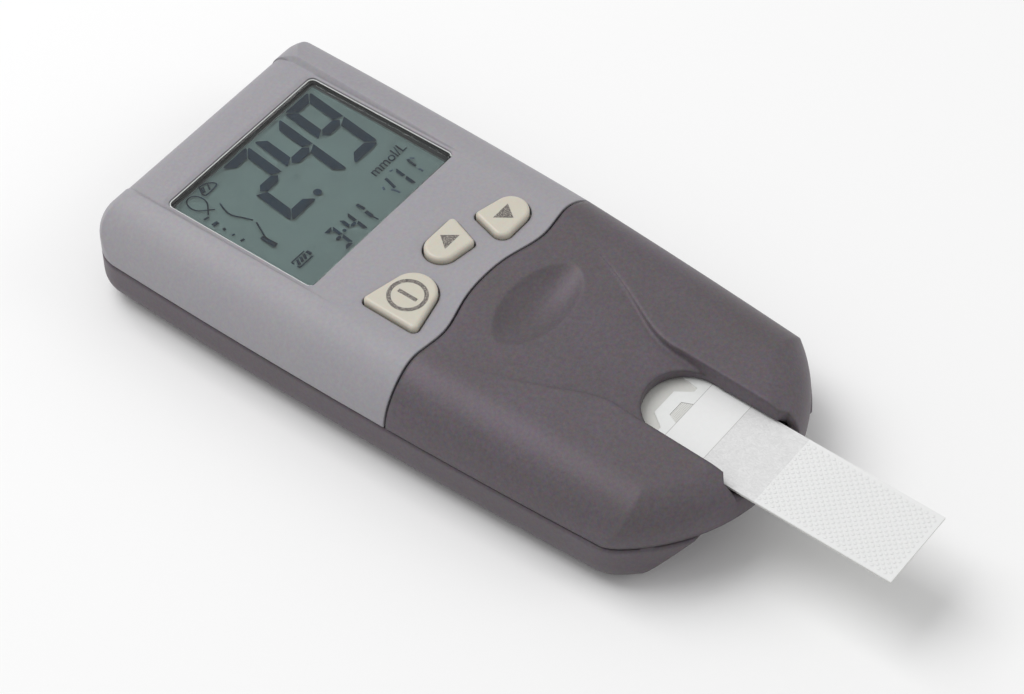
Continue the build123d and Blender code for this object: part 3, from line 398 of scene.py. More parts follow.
def make_clear(name, color, bend):
    """Clear plastic or glass with a polished surface."""
    material, tree, shader = new_material(name)
    shader.inputs["Base Color"].default_value = (*color, 1)
    shader.inputs["Roughness"].default_value = 0.03
    shader.inputs["IOR"].default_value = bend
    shader.inputs["Transmission Weight"].default_value = 1.0
    return material


display_glass = make_display_glass()
clear_plastic = make_clear("clear_lens", (0.97, 0.985, 0.975), 1.49)
clear_glass = make_clear("front_glass", (0.99, 0.995, 0.99), 1.2)
dress(display_glass, "lcd_panel")
dress(clear_plastic, "display_lens", "optics_window", "light_sources")
print("display", display_glass.name)

# %% [markdown]
# ## Inside and under the case
# The dark surround shows through the lens, and the feet stand under the case. Most of the others show
# only when a part is slid away, or in a cut-away. Each gets the plain finish of its kind: black
# plastic, green board lacquer, rubber or dark resin, all from the same grain group.

# %% Inner pieces
black = grained("black_abs", (0.014, 0.014, 0.016), (0.02, 0.02, 0.022), roughness=0.45)
board_green = grained(
    "board_lacquer", (0.012, 0.09, 0.035), (0.02, 0.12, 0.05), 0.6, grain_scale=900, roughness=0.3,
    Coat_Weight=0.5,
)
contact_rubber = grained("contact_rubber", (0.2, 0.2, 0.21), (0.05, 0.05, 0.05), 0.6, roughness=0.6)
tray_grey = grained("tray_grey", (0.02, 0.02, 0.022), (0.03, 0.03, 0.03), roughness=0.5)
foot_rubber = grained(
    "foot_rubber", (0.018, 0.018, 0.018), (0.03, 0.03, 0.03), 0.5, roughness=0.75, depth=0.04,
)
sensor_resin = grained("sensor_resin", (0.02, 0.015, 0.03), (0.03, 0.02, 0.04), roughness=0.2)
dress(black, "display_surround", "lcd_holder", "optics_block", "microcontroller", "buzzer", "board_link")
dress(board_green, "main_board", "optics_board")
dress(contact_rubber, "lcd_contact_strip")
dress(tray_grey, "strip_tray")
dress(foot_rubber, "rubber_feet")
dress(sensor_resin, "light_sensor")
print("inner pieces dressed")

# %% [markdown]
# ## Metal
# Screws and battery contacts are plated steel with a fine grain. The cells are lacquered cans.

# %% Plated steel and cell lacquer
plated = grained(
    "plated_steel", (0.56, 0.56, 0.57), (0.45, 0.45, 0.46), 0.5, grain_scale=5200, depth=0.01,
    roughness=0.28, Metallic=1.0,
)
cell_lacquer = grained(
    "cell_lacquer", (0.03, 0.07, 0.14), (0.04, 0.09, 0.18), 0.4, depth=0.005, roughness=0.25,
    Coat_Weight=0.6,
)
dress(plated, "case_screws", "board_screws", "tray_screws", "contact_leaves", "contact_bridge")
dress(cell_lacquer, "battery_left", "battery_right")
print("metal", plated.name)

# %% [markdown]
# ## Marks on the display
# Seven-segment figures are made of plates with mitred ends: the outer edge is longer than the inner
# one. Each plate starts as a plane, the two corners on its inner side are drawn in, and corners on its
# outer side are rounded a little. The figures lean a little to the right.

# %% Tools for flat marks
LCD_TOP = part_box("lcd_panel")[1].z
GLASS_THICK = 0.40 * MM
GLASS_GAP = 0.02 * MM
MARK_LIFT = 0.01 * MM
PRINT_THICK = 0.02 * MM
MARK_Z = LCD_TOP + GLASS_GAP + GLASS_THICK + MARK_LIFT
MARK_CENTRE = (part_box("display_lens")[0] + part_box("display_lens")[1]) / 2
LEAN_ANGLE = math.radians(6.3)
LEAN = Matrix(((1, math.tan(LEAN_ANGLE), 0, 0), (0, 1, 0, 0), (0, 0, 1, 0), (0, 0, 0, 1)))


def start_plane(x, y, width, length):
    """Plane of a given size about x, y, in metres."""
    bpy.ops.object.select_all(action="DESELECT")
    bpy.ops.mesh.primitive_plane_add(size=1, location=(0, 0, 0))
    plane = bpy.context.object
    plane.data.transform(Matrix.Diagonal((width, length, 1, 1)))
    plane.data.transform(Matrix.Translation((x, y, 0)))
    return plane


def move_corner(plane, side, end, shift):
    """Move one corner of a flat piece: side is -1 or 1 in x, end is -1 or 1 in y."""
    corner = max(plane.data.vertices, key=lambda v: side * v.co.x + end * v.co.y).index
    bpy.ops.object.mode_set(mode="EDIT")
    bpy.ops.mesh.select_all(action="DESELECT")
    bpy.ops.object.mode_set(mode="OBJECT")
    plane.data.vertices[corner].select = True
    bpy.ops.object.mode_set(mode="EDIT")
    bpy.ops.transform.translate(value=(*shift, 0))
    bpy.ops.object.mode_set(mode="OBJECT")


def round_corners(plane, chosen, radius):
    """Round the corners of a flat piece whose place passes a test."""
    bpy.ops.object.mode_set(mode="EDIT")
    bpy.ops.mesh.select_all(action="DESELECT")
    bpy.ops.object.mode_set(mode="OBJECT")
    for vertex in plane.data.vertices:
        vertex.select = chosen(vertex.co)
    bpy.ops.object.mode_set(mode="EDIT")
    bpy.ops.mesh.select_mode(type="VERT")
    bpy.ops.mesh.bevel(offset=radius, segments=3, affect="VERTICES")
    bpy.ops.object.mode_set(mode="OBJECT")


def join_pieces(pieces, name):
    """Join several meshes into one named piece."""
    bpy.ops.object.select_all(action="DESELECT")
    for piece in pieces:
        piece.select_set(True)
    bpy.context.view_layer.objects.active = pieces[0]
    if len(pieces) > 1:
        bpy.ops.object.join()
    joined = bpy.context.object
    joined.name = name
    joined.data.name = name
    return joined


print("marks lie", round((MARK_Z - LCD_TOP) / MM, 2), "mm above the reflector")


# %% Bars of a figure
CORNER_SHARE = 0.4


def level_bar(x, y, length, thick, inner):
    """Lying bar; its inner edge, above (1) or below (-1), is mitred at both ends."""
    bar = start_plane(x, y, length, thick)
    move_corner(bar, -1, inner, (thick, 0))
    move_corner(bar, 1, inner, (-thick, 0))
    round_corners(bar, lambda place: (place.y - y) * inner < 0, CORNER_SHARE * thick)
    return bar


def upright_bar(x, y, thick, length, inner, middle):
    """Standing bar; its inner edge is mitred by half as much at the end that meets the middle bar."""
    bar = start_plane(x, y, thick, length)
    for end in (-1, 1):
        move_corner(bar, inner, end, (0, -end * thick * (0.5 if end == middle else 1)))

    def outer_end(place):
        return (place.x - x) * inner < 0 and (place.y - y) * middle < 0

    round_corners(bar, outer_end, CORNER_SHARE * thick)
    return bar


def middle_bar(x, y, length, thick):
    """Bar with a point at each end, as two mitred halves."""
    halves = []
    for side in (-1, 1):
        half = start_plane(x, y + side * thick / 4, length, thick / 2)
        for end in (-1, 1):
            move_corner(half, end, side, (-end * thick / 2, 0))
        halves.append(half)
    return halves


print("bars, corners rounded by", CORNER_SHARE, "of their thickness")


# %% Seven-segment figures
BARS_OF = {"1": "bc", "2": "abged", "3": "abgcd", "4": "fgbc", "9": "abcdfg"}


def figure(sign, x, y, width, height, thick, gap):
    """One leaning figure whose lower left corner is at x, y."""
    half = height / 2
    upright = half - 1.5 * gap
    made = []
    for key in BARS_OF[sign]:
        if key == "g":
            made += middle_bar(width / 2, half, width - thick - 2 * gap, thick)
        elif key in "ad":
            level = height - thick / 2 if key == "a" else thick / 2
            made.append(level_bar(width / 2, level, width - 2 * gap, thick, -1 if key == "a" else 1))
        else:
            right, upper = key in "bc", key in "bf"
            bar_x = width - thick / 2 if right else thick / 2
            bar_y = half + upright / 2 + gap / 2 if upper else half - upright / 2 - gap / 2
            made.append(upright_bar(bar_x, bar_y, thick, upright, -1 if right else 1, -1 if upper else 1))
    whole = join_pieces(made, "figure")
    whole.data.transform(LEAN)
    whole.data.transform(Matrix.Translation((x, y, 0)))
    return whole


def mark_plate(piece, name, z, thick=PRINT_THICK):
    """Turn a flat piece into a thin plate at a given height."""
    bpy.ops.object.select_all(action="DESELECT")
    piece.select_set(True)
    bpy.context.view_layer.objects.active = piece
    bpy.ops.object.mode_set(mode="EDIT")
    bpy.ops.mesh.select_all(action="SELECT")
    bpy.ops.mesh.remove_doubles(threshold=1e-6)
    bpy.ops.mesh.normals_make_consistent(inside=False)
    bpy.ops.mesh.extrude_region_move(TRANSFORM_OT_translate={"value": (0, 0, thick)})
    bpy.ops.mesh.select_all(action="SELECT")
    bpy.ops.mesh.normals_make_consistent(inside=False)
    bpy.ops.object.mode_set(mode="OBJECT")
    piece.data.transform(Matrix.Translation((0, 0, z)))
    piece.name = name
    piece.data.name = name
    return piece


def figures(signs, thick, gap, width, height):
    """Several figures at their places, in millimetres."""
    sizes = [value * MM for value in (width, height, thick, gap)]
    return [figure(sign, x * MM, y * MM, *sizes) for sign, x, y in signs]


LARGE_LEFT, LARGE_FOOT, LARGE_PITCH = -8.6, 34.2, 8.65
SMALL_LEFT, SMALL_FOOT, SMALL_PITCH, DATE_LEFT = -8.1, 22.4, 4.1, 9.6
large_places = [(sign, LARGE_LEFT + i * LARGE_PITCH, LARGE_FOOT) for i, sign in enumerate("249")]
small_places = [(sign, SMALL_LEFT + i * SMALL_PITCH, SMALL_FOOT) for i, sign in enumerate("34")]
small_places.append(("1", DATE_LEFT, SMALL_FOOT))
large = figures(large_places, thick=1.95, gap=0.14, width=7.15, height=18.1)
small = figures(small_places, thick=0.68, gap=0.18, width=2.4, height=5.5)
print("figures", len(large), "large and", len(small), "small")


# %% Points between the figures
def round_point(x, y, radius):
    """Flat disc about x, y, in millimetres."""
    bpy.ops.object.select_all(action="DESELECT")
    bpy.ops.mesh.primitive_circle_add(vertices=24, radius=radius * MM, fill_type="NGON", location=(0, 0, 0))
    disc = bpy.context.object
    disc.data.transform(Matrix.Translation((x * MM, y * MM, 0)))
    return disc


dots = [round_point(-0.4, LARGE_FOOT + 0.9, 0.78), round_point(-4.6, SMALL_FOOT + 3.1, 0.37)]
print("points", len(dots))

# %% [markdown]
# The unit is set in the built-in font and made a mesh. The icons are thin lines on the real glass. A
# curve with a width follows each line, and converting it to a mesh gives a flat ribbon. The bends are
# few points that a smooth curve joins, and the loop is an oval worked out by its angle.


# %% Unit of the reading
LETTER_SWELL = 0.004


def unit_text(words, x, y, size, squeeze):
    """Flat letters made a mesh."""
    bpy.ops.object.select_all(action="DESELECT")
    bpy.ops.object.text_add(location=(0, 0, 0))
    text = bpy.context.object
    text.data.body = words
    text.data.size = size * MM
    text.data.offset = LETTER_SWELL * size * MM
    bpy.ops.object.convert(target="MESH")
    letters = bpy.context.object
    letters.data.transform(Matrix.Diagonal((squeeze, 1, 1, 1)))
    letters.data.transform(LEAN)
    letters.data.transform(Matrix.Translation((x * MM, y * MM, 0)))
    return letters


icons = [unit_text("mmol/L", x=8.65, y=29.2, size=3.0, squeeze=0.98)]
print("unit", len(icons[0].data.polygons), "faces")


# %% Strokes of the icons
THIN, LINE = 0.26, 0.30


def stroke(points, width):
    """Flat ribbon along a smooth line of points, in millimetres."""
    curve = bpy.data.curves.new("stroke", "CURVE")
    curve.dimensions = "3D"
    curve.twist_mode = "Z_UP"
    curve.extrude = width / 2 * MM
    spline = curve.splines.new("NURBS")
    spline.points.add(len(points) - 1)
    for point, (x, y) in zip(spline.points, points):
        point.co = (x * MM, y * MM, 0, 1)
        point.tilt = math.radians(90)
    spline.order_u = min(3, len(points))
    spline.use_endpoint_u = True
    spline.resolution_u = 6
    holder = bpy.data.objects.new("stroke", curve)
    bpy.context.scene.collection.objects.link(holder)
    bpy.ops.object.select_all(action="DESELECT")
    holder.select_set(True)
    bpy.context.view_layer.objects.active = holder
    bpy.ops.object.convert(target="MESH")
    return bpy.context.object


def stroke_about(place, points, width):
    """Stroke whose points are drawn about a place."""
    return stroke([(place[0] + x, place[1] + y) for x, y in points], width)


def oval(centre, half, start, end, steps=10):
    """Points along an oval, from one angle to another in degrees."""
    turns = [math.radians(start + (end - start) * i / steps) for i in range(steps + 1)]
    return [
        (centre[0] + half[0] * math.cos(turn), centre[1] + half[1] * math.sin(turn)) for turn in turns
    ]


print("strokes, two usual widths", THIN, "and", LINE, "mm")

# %% Loop and bow
LOOP_AT, LOOP_HALF = (-15.5, 50.2), (1.6, 2.1)
TAIL_SPREAD, TAIL_LENGTH = 0.9, 3.4
BOW_AT, BOW_FILL = (-13.3, 50.2), 0.75

tails = [(LOOP_AT[0] + side * TAIL_SPREAD, LOOP_AT[1] - TAIL_LENGTH) for side in (1, -1)]
icons.append(stroke([tails[0], *oval(LOOP_AT, LOOP_HALF, 240, -60), tails[1]], THIN))
bow_outline = [(1, 2.3), (2.5, 2.2), (4, 0.2), (1.5, 0), (0, 0), (0.2, 1.2), (1, 2.3)]
icons.append(stroke_about(BOW_AT, bow_outline, LINE))
icons.append(stroke_about(BOW_AT, [(1.2, 1.9), (0.5, 0.8)], BOW_FILL))
icons.append(stroke_about(BOW_AT, [(2.7, 1.9), (1.7, 0.4)], LINE))
print("loop and bow", len(icons) - 1)

# %% Long sign and the row of ticks
LONG_AT, LONG_END = (-13.0, 47.0), 1.0
TICK_X, TICK_TOP, TICK_STEP, TICK_FALL = -17.2, 46.7, 2.1, 0.2
# length and width of each tick
TICK_SIZES = ((1.0, 0.4), (1.2, 0.75), (0.5, 0.6), (0.5, 0.4), (0.8, 0.45))

icons.append(stroke_about(LONG_AT, [(0, 0), (-0.7, -1.5), (-1, -3.5), (0, -5.5), (0.5, -7.2)], LINE))
icons.append(stroke_about(LONG_AT, [(0.5, -8), (-1, -11), (-1.5, -12)], LINE))
icons.append(stroke_about(LONG_AT, [(-1.5, -11), (-1.8, -12.5), (-1.5, -14.3)], LONG_END))
for row, (length, width) in enumerate(TICK_SIZES):
    tick_at = (TICK_X, TICK_TOP - row * TICK_STEP)
    icons.append(stroke_about(tick_at, [(-length / 2, 0), (length / 2, -TICK_FALL)], width))
print("long sign and ticks", len(TICK_SIZES))

# %% Battery with three cells and a cap
BATTERY_AT, BATTERY_LENGTH, BATTERY_HEIGHT = (-14.3, 27.05), 3.4, 1.9
BATTERY_END, CAP_GAP, CAP_WIDTH = 0.6, 0.2, 0.6
CELL_LEFT, CELL_STEP, CELL_LEAN, CELL_WIDTH = -1.2, 0.85, 0.6, 0.5
CELL_TOP, CELL_FOOT = 0.6, -0.5

for side in (-1, 1):
    bar_y = BATTERY_AT[1] + side * BATTERY_HEIGHT / 2
    icons.append(start_plane(BATTERY_AT[0] * MM, bar_y * MM, BATTERY_LENGTH * MM, THIN * MM))
    foot_x = BATTERY_AT[0] - BATTERY_LENGTH / 2
    icons.append(stroke([(foot_x, bar_y), (foot_x, bar_y - side * BATTERY_END)], THIN))
for cell in range(3):
    cell_x = CELL_LEFT + CELL_STEP * cell
    slant = [(cell_x + CELL_LEAN, CELL_TOP), (cell_x, CELL_FOOT)]
    icons.append(stroke_about(BATTERY_AT, slant, CELL_WIDTH))
cap_x = BATTERY_LENGTH / 2 + CAP_GAP
icons.append(stroke_about(BATTERY_AT, [(cap_x, CELL_TOP), (cap_x, CELL_FOOT)], CAP_WIDTH))
print("icons", len(icons))

# %% [markdown]
# Beside the time and the date some bars of the figures are half lit. They are short strokes about the
# lower corner of each figure's cell: five in the full ink and five in a paler one.

# %% Half-lit figures beside the time
TIME_CELL, FIRST_CELL, THIRD_CELL = (1.0, SMALL_FOOT), (8.8, SMALL_FOOT), (15.0, SMALL_FOOT)

lit = [
    stroke_about(TIME_CELL, [(0.5, 5.3), (0.5, 3.5)], 0.62),
    stroke_about(TIME_CELL, [(0.2, 3), (0, 1.3)], 0.72),
    stroke_about(TIME_CELL, [(0, 1.4), (0.1, 0)], THIN),
    stroke_about(FIRST_CELL, [(0.7, 5.2), (0.5, 4.2), (0, 2.5)], 0.58),
    stroke_about(THIRD_CELL, [(0.6, 5), (0.2, 4.3), (0.2, 2.8)], 0.5),
]
pale = [
    stroke_about(FIRST_CELL, [(-1.2, 4.3), (-1.6, 3.6)], 0.45),
    stroke_about(FIRST_CELL, [(-0.8, 2.7), (-0.4, 2), (-0.4, 1)], 0.4),
    stroke_about(THIRD_CELL, [(1, 4.9), (1.5, 4.2)], 0.35),
    stroke_about(THIRD_CELL, [(0, 2), (0, 1)], 0.4),
    stroke_about(THIRD_CELL, [(-3.7, 5.7), (-3.1, 5.5)], LINE),
]
print("half-lit", len(lit) + len(pale))

# %% [markdown]
# On the real display all marks lie in one layer. Here they are joined into two pieces, one for each
# ink, and each piece becomes a set of thin plates, so that the marks are in the model's mesh as well.


# %% Put the marks on the display
INK_LIFT = 1.3


def make_ink(name, color):
    """Dark ink with a faintly uneven tone."""
    lighter = tuple(INK_LIFT * c for c in color)
    return grained(name, color, lighter, 0.5, grain_scale=2600, depth=0.0, Specular_IOR_Level=0.1)


def place_marks(pieces, name, ink):
    """Join flat marks and lay them on the front glass."""
    marks = mark_plate(join_pieces(pieces, name), name, MARK_Z)
    marks.data.materials.clear()
    marks.data.materials.append(ink)
    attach(marks, "housing")
    print(name, len(marks.data.polygons), "faces")


crystal_ink = make_ink("crystal_ink", (0.001, 0.021, 0.045))
pale_ink = make_ink("pale_ink", (0.07, 0.115, 0.17))
place_marks(large + small + dots + icons + lit, "display_marks", crystal_ink)
place_marks(pale, "pale_marks", pale_ink)

# %% [markdown]
# The marks lie on the front glass, a clear plate over the reflector. Its thickness gives each mark a
# soft shadow.

# %% Front glass
GLASS_WIDTH, GLASS_LENGTH = 38.5 * MM, 31.9 * MM

bpy.ops.object.select_all(action="DESELECT")
bpy.ops.mesh.primitive_cube_add(size=1, location=(0, 0, 0))
front_glass = bpy.context.object
front_glass.data.transform(Matrix.Diagonal((GLASS_WIDTH, GLASS_LENGTH, GLASS_THICK, 1)))
front_glass.data.transform(Matrix.Translation((0, MARK_CENTRE.y, LCD_TOP + GLASS_GAP + GLASS_THICK / 2)))
front_glass.name = "front_glass"
front_glass.data.materials.append(clear_glass)
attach(front_glass, "housing")
print("front glass", [round(s / MM, 2) for s in front_glass.dimensions])

# %% [markdown]
# The polished edge of the lens catches the light as a thin bright line on three sides of the window. That
# line is a painted highlight: a narrow rounded ring of near-white plate without its side at the head of the
# meter, laid on the sloping top of the lens.

# %% Painted highlight on the edge of the lens
RIM_WIDTH = 0.17 * MM
RIM_THICK = 0.05 * MM
RIM_CORNER = 1.2 * MM

lens = nodes["display_lens"]
facet = max((face for face in lens.data.polygons if face.normal.z > 0.9), key=lambda face: face.area)
slope, on_top = facet.normal.copy(), facet.center.copy()
lens_low, lens_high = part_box("display_lens")
highlight_rim = start_plane(0, 0, lens_high.x - lens_low.x, lens_high.y - lens_low.y)
round_corners(highlight_rim, lambda place: True, RIM_CORNER)
bpy.ops.object.mode_set(mode="EDIT")
bpy.ops.mesh.select_all(action="SELECT")
bpy.ops.mesh.inset(thickness=RIM_WIDTH)
bpy.ops.mesh.delete(type="FACE")
bpy.ops.mesh.select_all(action="DESELECT")
bpy.ops.object.mode_set(mode="OBJECT")
for face in highlight_rim.data.polygons:
    face.select = face.center.y > (lens_high.y - lens_low.y) / 2 - RIM_WIDTH
bpy.ops.object.mode_set(mode="EDIT")
bpy.ops.mesh.select_mode(type="FACE")
bpy.ops.mesh.delete(type="FACE")
bpy.ops.object.mode_set(mode="OBJECT")
mark_plate(highlight_rim, "lens_rim_highlight", 0, RIM_THICK)
rim_z = on_top.z - (slope.y * (MARK_CENTRE.y - on_top.y) - slope.x * on_top.x) / slope.z
rim_turn = slope.to_track_quat("Z", "Y").to_matrix().to_4x4()
highlight_rim.data.transform(Matrix.Translation((0, MARK_CENTRE.y, rim_z)) @ rim_turn)
# Near-white colour of the ring: a painted highlight of the polished lens edge.
painted_highlight_edge = grained("painted_highlight_edge", (0.80, 0.83, 0.81), (0.9, 0.92, 0.9), 0.4, depth=0.0, roughness=0.2)
highlight_rim.data.materials.append(painted_highlight_edge)
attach(highlight_rim, "housing")
print("highlight_rim", [round(s / MM, 2) for s in highlight_rim.dimensions], "slope", [round(c, 4) for c in slope])

# %% [markdown]
# ## Signs on the buttons
# The signs are pad-printed in a dark grey dot screen, which shows cream between its specks. The plates
# are very thin, and their material mixes grey and cream by a fine noise.


# %% Screen-printed ink
def make_screen_print():
    """Grey specks on cream."""
    material, tree, shader = new_material("screen_print")
    place = add_node(tree, "ShaderNodeTexCoord")
    specks = add_node(tree, "ShaderNodeTexNoise", inputs={"Scale": 5200.0, "Detail": 1.0, "Roughness": 0.4})
    ramp = add_node(tree, "ShaderNodeMapRange", inputs={"From Min": 0.50, "From Max": 0.60})
    blend = add_node(tree, "ShaderNodeMix", data_type="RGBA")
    blend.inputs["A"].default_value = (0.105, 0.092, 0.085, 1)
    blend.inputs["B"].default_value = (0.36, 0.33, 0.29, 1)
    tree.links.new(place.outputs["Object"], specks.inputs["Vector"])
    tree.links.new(specks.outputs["Fac"], ramp.inputs["Value"])
    tree.links.new(ramp.outputs["Result"], blend.inputs["Factor"])
    tree.links.new(blend.outputs["Result"], shader.inputs["Base Color"])
    shader.inputs["Roughness"].default_value = 0.5
    return material


screen_print = make_screen_print()


def finish_sign(piece, name, button):
    """Turn a flat sign into a print on its button."""
    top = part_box(button)[1].z
    mark_plate(piece, name, top)
    piece.data.materials.clear()
    piece.data.materials.append(screen_print)
    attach(piece, button)
    return piece


print("sign ink", screen_print.name)

# %% Power sign: a ring with a bar
POWER_X, POWER_Y = -12.1 * MM, 5.2 * MM
RING_RADIUS, RING_WIDTH, POWER_BAR = 3.65 * MM, 0.75 * MM, 4.0 * MM

bpy.ops.object.select_all(action="DESELECT")
bpy.ops.mesh.primitive_circle_add(vertices=96, radius=RING_RADIUS, fill_type="NGON", location=(0, 0, 0))
ring = bpy.context.object
bpy.ops.object.mode_set(mode="EDIT")
bpy.ops.mesh.select_all(action="SELECT")
bpy.ops.mesh.inset(thickness=RING_WIDTH)
bpy.ops.mesh.delete(type="FACE")
bpy.ops.object.mode_set(mode="OBJECT")
bar = start_plane(0, 0, RING_WIDTH, POWER_BAR)
power_sign = join_pieces([ring, bar], "power_sign")
power_sign.data.transform(Matrix.Translation((POWER_X, POWER_Y, 0)))
finish_sign(power_sign, "power_sign", "power_button")
print("power sign", len(power_sign.data.polygons), "faces")


# %% Arrow signs
TIP_BLUNT = 0.02


def arrow(name, button, x, y, half, height):
    """Triangle with its tip at x, y and its base a signed height away."""
    piece = start_plane(x * MM, (y + height / 2) * MM, 2 * half * MM, abs(height) * MM)
    tip_end = -1 if height > 0 else 1
    for side in (-1, 1):
        move_corner(piece, side, tip_end, (-side * (half - TIP_BLUNT) * MM, 0))
    return finish_sign(piece, name, button)


up_sign = arrow("up_sign", "up_button", x=2.15, y=9.3, half=2.05, height=-2.65)
down_sign = arrow("down_sign", "down_button", x=13.1, y=1.7, half=2.1, height=2.85)
print("arrows", up_sign.name, down_sign.name)

# %% [markdown]
# ## Test strip
# The strip is a white plastic card with layers: a smooth label, a fibrous paper band, and a grip that
# is embossed with a diagonal grid of small raised dots. In the notch a thin film is cut to a blunt
# point round a mesh pad.


# %% Paper, film and label finishes
def make_fibre_paper():
    """White paper with long soft fibres."""
    material, tree, shader = new_material("fibre_paper")
    place = add_node(tree, "ShaderNodeTexCoord")
    along = add_node(tree, "ShaderNodeMapping", inputs={"Scale": (1.0, 0.7, 1.0)})
    fibre = add_node(
        tree, "ShaderNodeTexNoise",
        inputs={"Scale": 1500.0, "Detail": 6.0, "Roughness": 0.7, "Distortion": 1.5},
    )
    ramp = add_node(tree, "ShaderNodeMapRange", inputs={"From Min": 0.35, "From Max": 0.65})
    blend = add_node(tree, "ShaderNodeMix", data_type="RGBA")
    blend.inputs["A"].default_value = (0.665, 0.665, 0.665, 1)
    blend.inputs["B"].default_value = (0.785, 0.785, 0.785, 1)
    bump = add_node(tree, "ShaderNodeBump", inputs={"Distance": 0.06 * MM, "Strength": 0.5})
    join = tree.links.new
    join(place.outputs["Object"], along.inputs["Vector"])
    join(along.outputs["Vector"], fibre.inputs["Vector"])
    join(fibre.outputs["Fac"], ramp.inputs["Value"])
    join(ramp.outputs["Result"], blend.inputs["Factor"])
    join(blend.outputs["Result"], shader.inputs["Base Color"])
    join(fibre.outputs["Fac"], bump.inputs["Height"])
    join(bump.outputs["Normal"], shader.inputs["Normal"])
    shader.inputs["Roughness"].default_value = 0.85
    return material


fibre_paper = make_fibre_paper()
white_label = grained(
    "white_label", (0.80, 0.805, 0.80), (0.84, 0.84, 0.84), 0.5, depth=0.006, roughness=0.45,
)
white_card = grained(
    "white_card", (0.62, 0.62, 0.59), (0.67, 0.67, 0.64), 0.5, depth=0.006, roughness=0.5,
)
white_film = grained(
    "white_film", (0.78, 0.79, 0.78), (0.83, 0.84, 0.83), 0.5, depth=0.008, roughness=0.4,
)
dress(fibre_paper, "strip_paper")
dress(white_label, "strip_label", "strip_grip")
dress(white_card, "strip_card")
print("strip finishes", fibre_paper.name, white_label.name)

# %% [markdown]
# The film's inner edge has a blunt point in the middle and a deep bay on either side. It is laid out as
# four-cornered planes that share their edges, then thickened. A gap is left in it for the pad.


# %% Film with its point and bays
def four_corners(low, high, left, right, high_left, high_right):
    """Flat piece between two levels of y, in millimetres."""
    centre_x, centre_y = (left + right) / 2, (low + high) / 2
    plane = start_plane(centre_x * MM, centre_y * MM, (right - left) * MM, (high - low) * MM)
    move_corner(plane, -1, 1, ((high_left - left) * MM, 0))
    move_corner(plane, 1, 1, ((high_right - right) * MM, 0))
    return plane


FILM_LOW, FILM_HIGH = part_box("strip_film")
LABEL_Y = FILM_LOW.y / MM
EDGE_X = FILM_HIGH.x / MM
PAD_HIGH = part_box("reaction_pad")[1]
# PAD_GAP lies round the pad, and PAD_NARROW is half the width of the pad's far end
PAD_GAP, PAD_NARROW = 0.05, 1.65
POINT_HALF, POINT_RISE, POINT_SPLIT = 2.8, 4.3, 1.0
BAY_RISE, BAY_INNER, BAY_OUTER, BAY_WIDE = 1.5, 4.9, 5.8, 6.4
SHOULDER, SIDE_RISE = 4.5, 5.1
PAD_TOP = PAD_HIGH.y / MM + PAD_GAP
BAY_FOOT, POINT_TOP, SIDE_TOP = LABEL_Y + BAY_RISE, LABEL_Y + POINT_RISE, LABEL_Y + SIDE_RISE
HOLE_FOOT, HOLE_TOP = PAD_HIGH.x / MM + PAD_GAP, PAD_NARROW + PAD_GAP
HOLE_MIDDLE = HOLE_FOOT + (HOLE_TOP - HOLE_FOOT) * BAY_RISE / (PAD_TOP - LABEL_Y)

layer = [four_corners(PAD_TOP, POINT_TOP, -HOLE_TOP, HOLE_TOP, -POINT_SPLIT, POINT_SPLIT)]
for low, high, inner, outer, high_inner, high_outer in (
    (LABEL_Y, BAY_FOOT, HOLE_FOOT, BAY_INNER, HOLE_MIDDLE, BAY_INNER),
    (LABEL_Y, BAY_FOOT, BAY_INNER, BAY_OUTER, BAY_INNER, BAY_OUTER),
    (LABEL_Y, BAY_FOOT, BAY_OUTER, EDGE_X, BAY_OUTER, EDGE_X),
    (BAY_FOOT, PAD_TOP, HOLE_MIDDLE, BAY_INNER, HOLE_TOP, SHOULDER),
    (PAD_TOP, POINT_TOP, HOLE_TOP, SHOULDER, POINT_SPLIT, POINT_HALF),
    (BAY_FOOT, SIDE_TOP, BAY_OUTER, EDGE_X, BAY_WIDE, EDGE_X),
):
    layer.append(four_corners(low, high, inner, outer, high_inner, high_outer))
    layer.append(four_corners(low, high, -outer, -inner, -high_outer, -high_inner))
film_thick = FILM_HIGH.z - FILM_LOW.z
film_layer = mark_plate(join_pieces(layer, "film_layer"), "film_layer", FILM_LOW.z, film_thick)
film_layer.data.materials.append(white_film)
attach(film_layer, "test_strip")
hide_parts("strip_film")
print("film", len(film_layer.data.polygons), "faces")

# %% [markdown]
# The pad is a small piece of woven mesh. Two waves at a right angle stand for its threads: the higher
# of the two at each place gives the colour and the bump.


# %% Mesh of the reaction pad
def make_mesh_cloth():
    """Plain weave in two directions."""
    material, tree, shader = new_material("mesh_cloth")
    place = add_node(tree, "ShaderNodeTexCoord")
    threads = []
    for turn in (0, math.radians(90)):
        lay = add_node(tree, "ShaderNodeMapping", inputs={"Rotation": (0, 0, turn)})
        wave = add_node(
            tree, "ShaderNodeTexWave", inputs={"Scale": 1000.0, "Distortion": 2.5, "Detail": 2.0},
        )
        tree.links.new(place.outputs["Object"], lay.inputs["Vector"])
        tree.links.new(lay.outputs["Vector"], wave.inputs["Vector"])
        threads.append(wave)
    top = add_node(tree, "ShaderNodeMath", operation="MAXIMUM")
    blend = add_node(tree, "ShaderNodeMix", data_type="RGBA")
    blend.inputs["A"].default_value = (0.48, 0.48, 0.46, 1)
    blend.inputs["B"].default_value = (0.72, 0.72, 0.69, 1)
    bump = add_node(tree, "ShaderNodeBump", inputs={"Distance": 0.05 * MM, "Strength": 0.7})
    join = tree.links.new
    join(threads[0].outputs["Fac"], top.inputs[0])
    join(threads[1].outputs["Fac"], top.inputs[1])
    join(top.outputs[0], blend.inputs["Factor"])
    join(blend.outputs["Result"], shader.inputs["Base Color"])
    join(top.outputs[0], bump.inputs["Height"])
    join(bump.outputs["Normal"], shader.inputs["Normal"])
    shader.inputs["Roughness"].default_value = 0.7
    return material


mesh_cloth = make_mesh_cloth()
dress(mesh_cloth, "reaction_pad")
print("mesh", mesh_cloth.name)

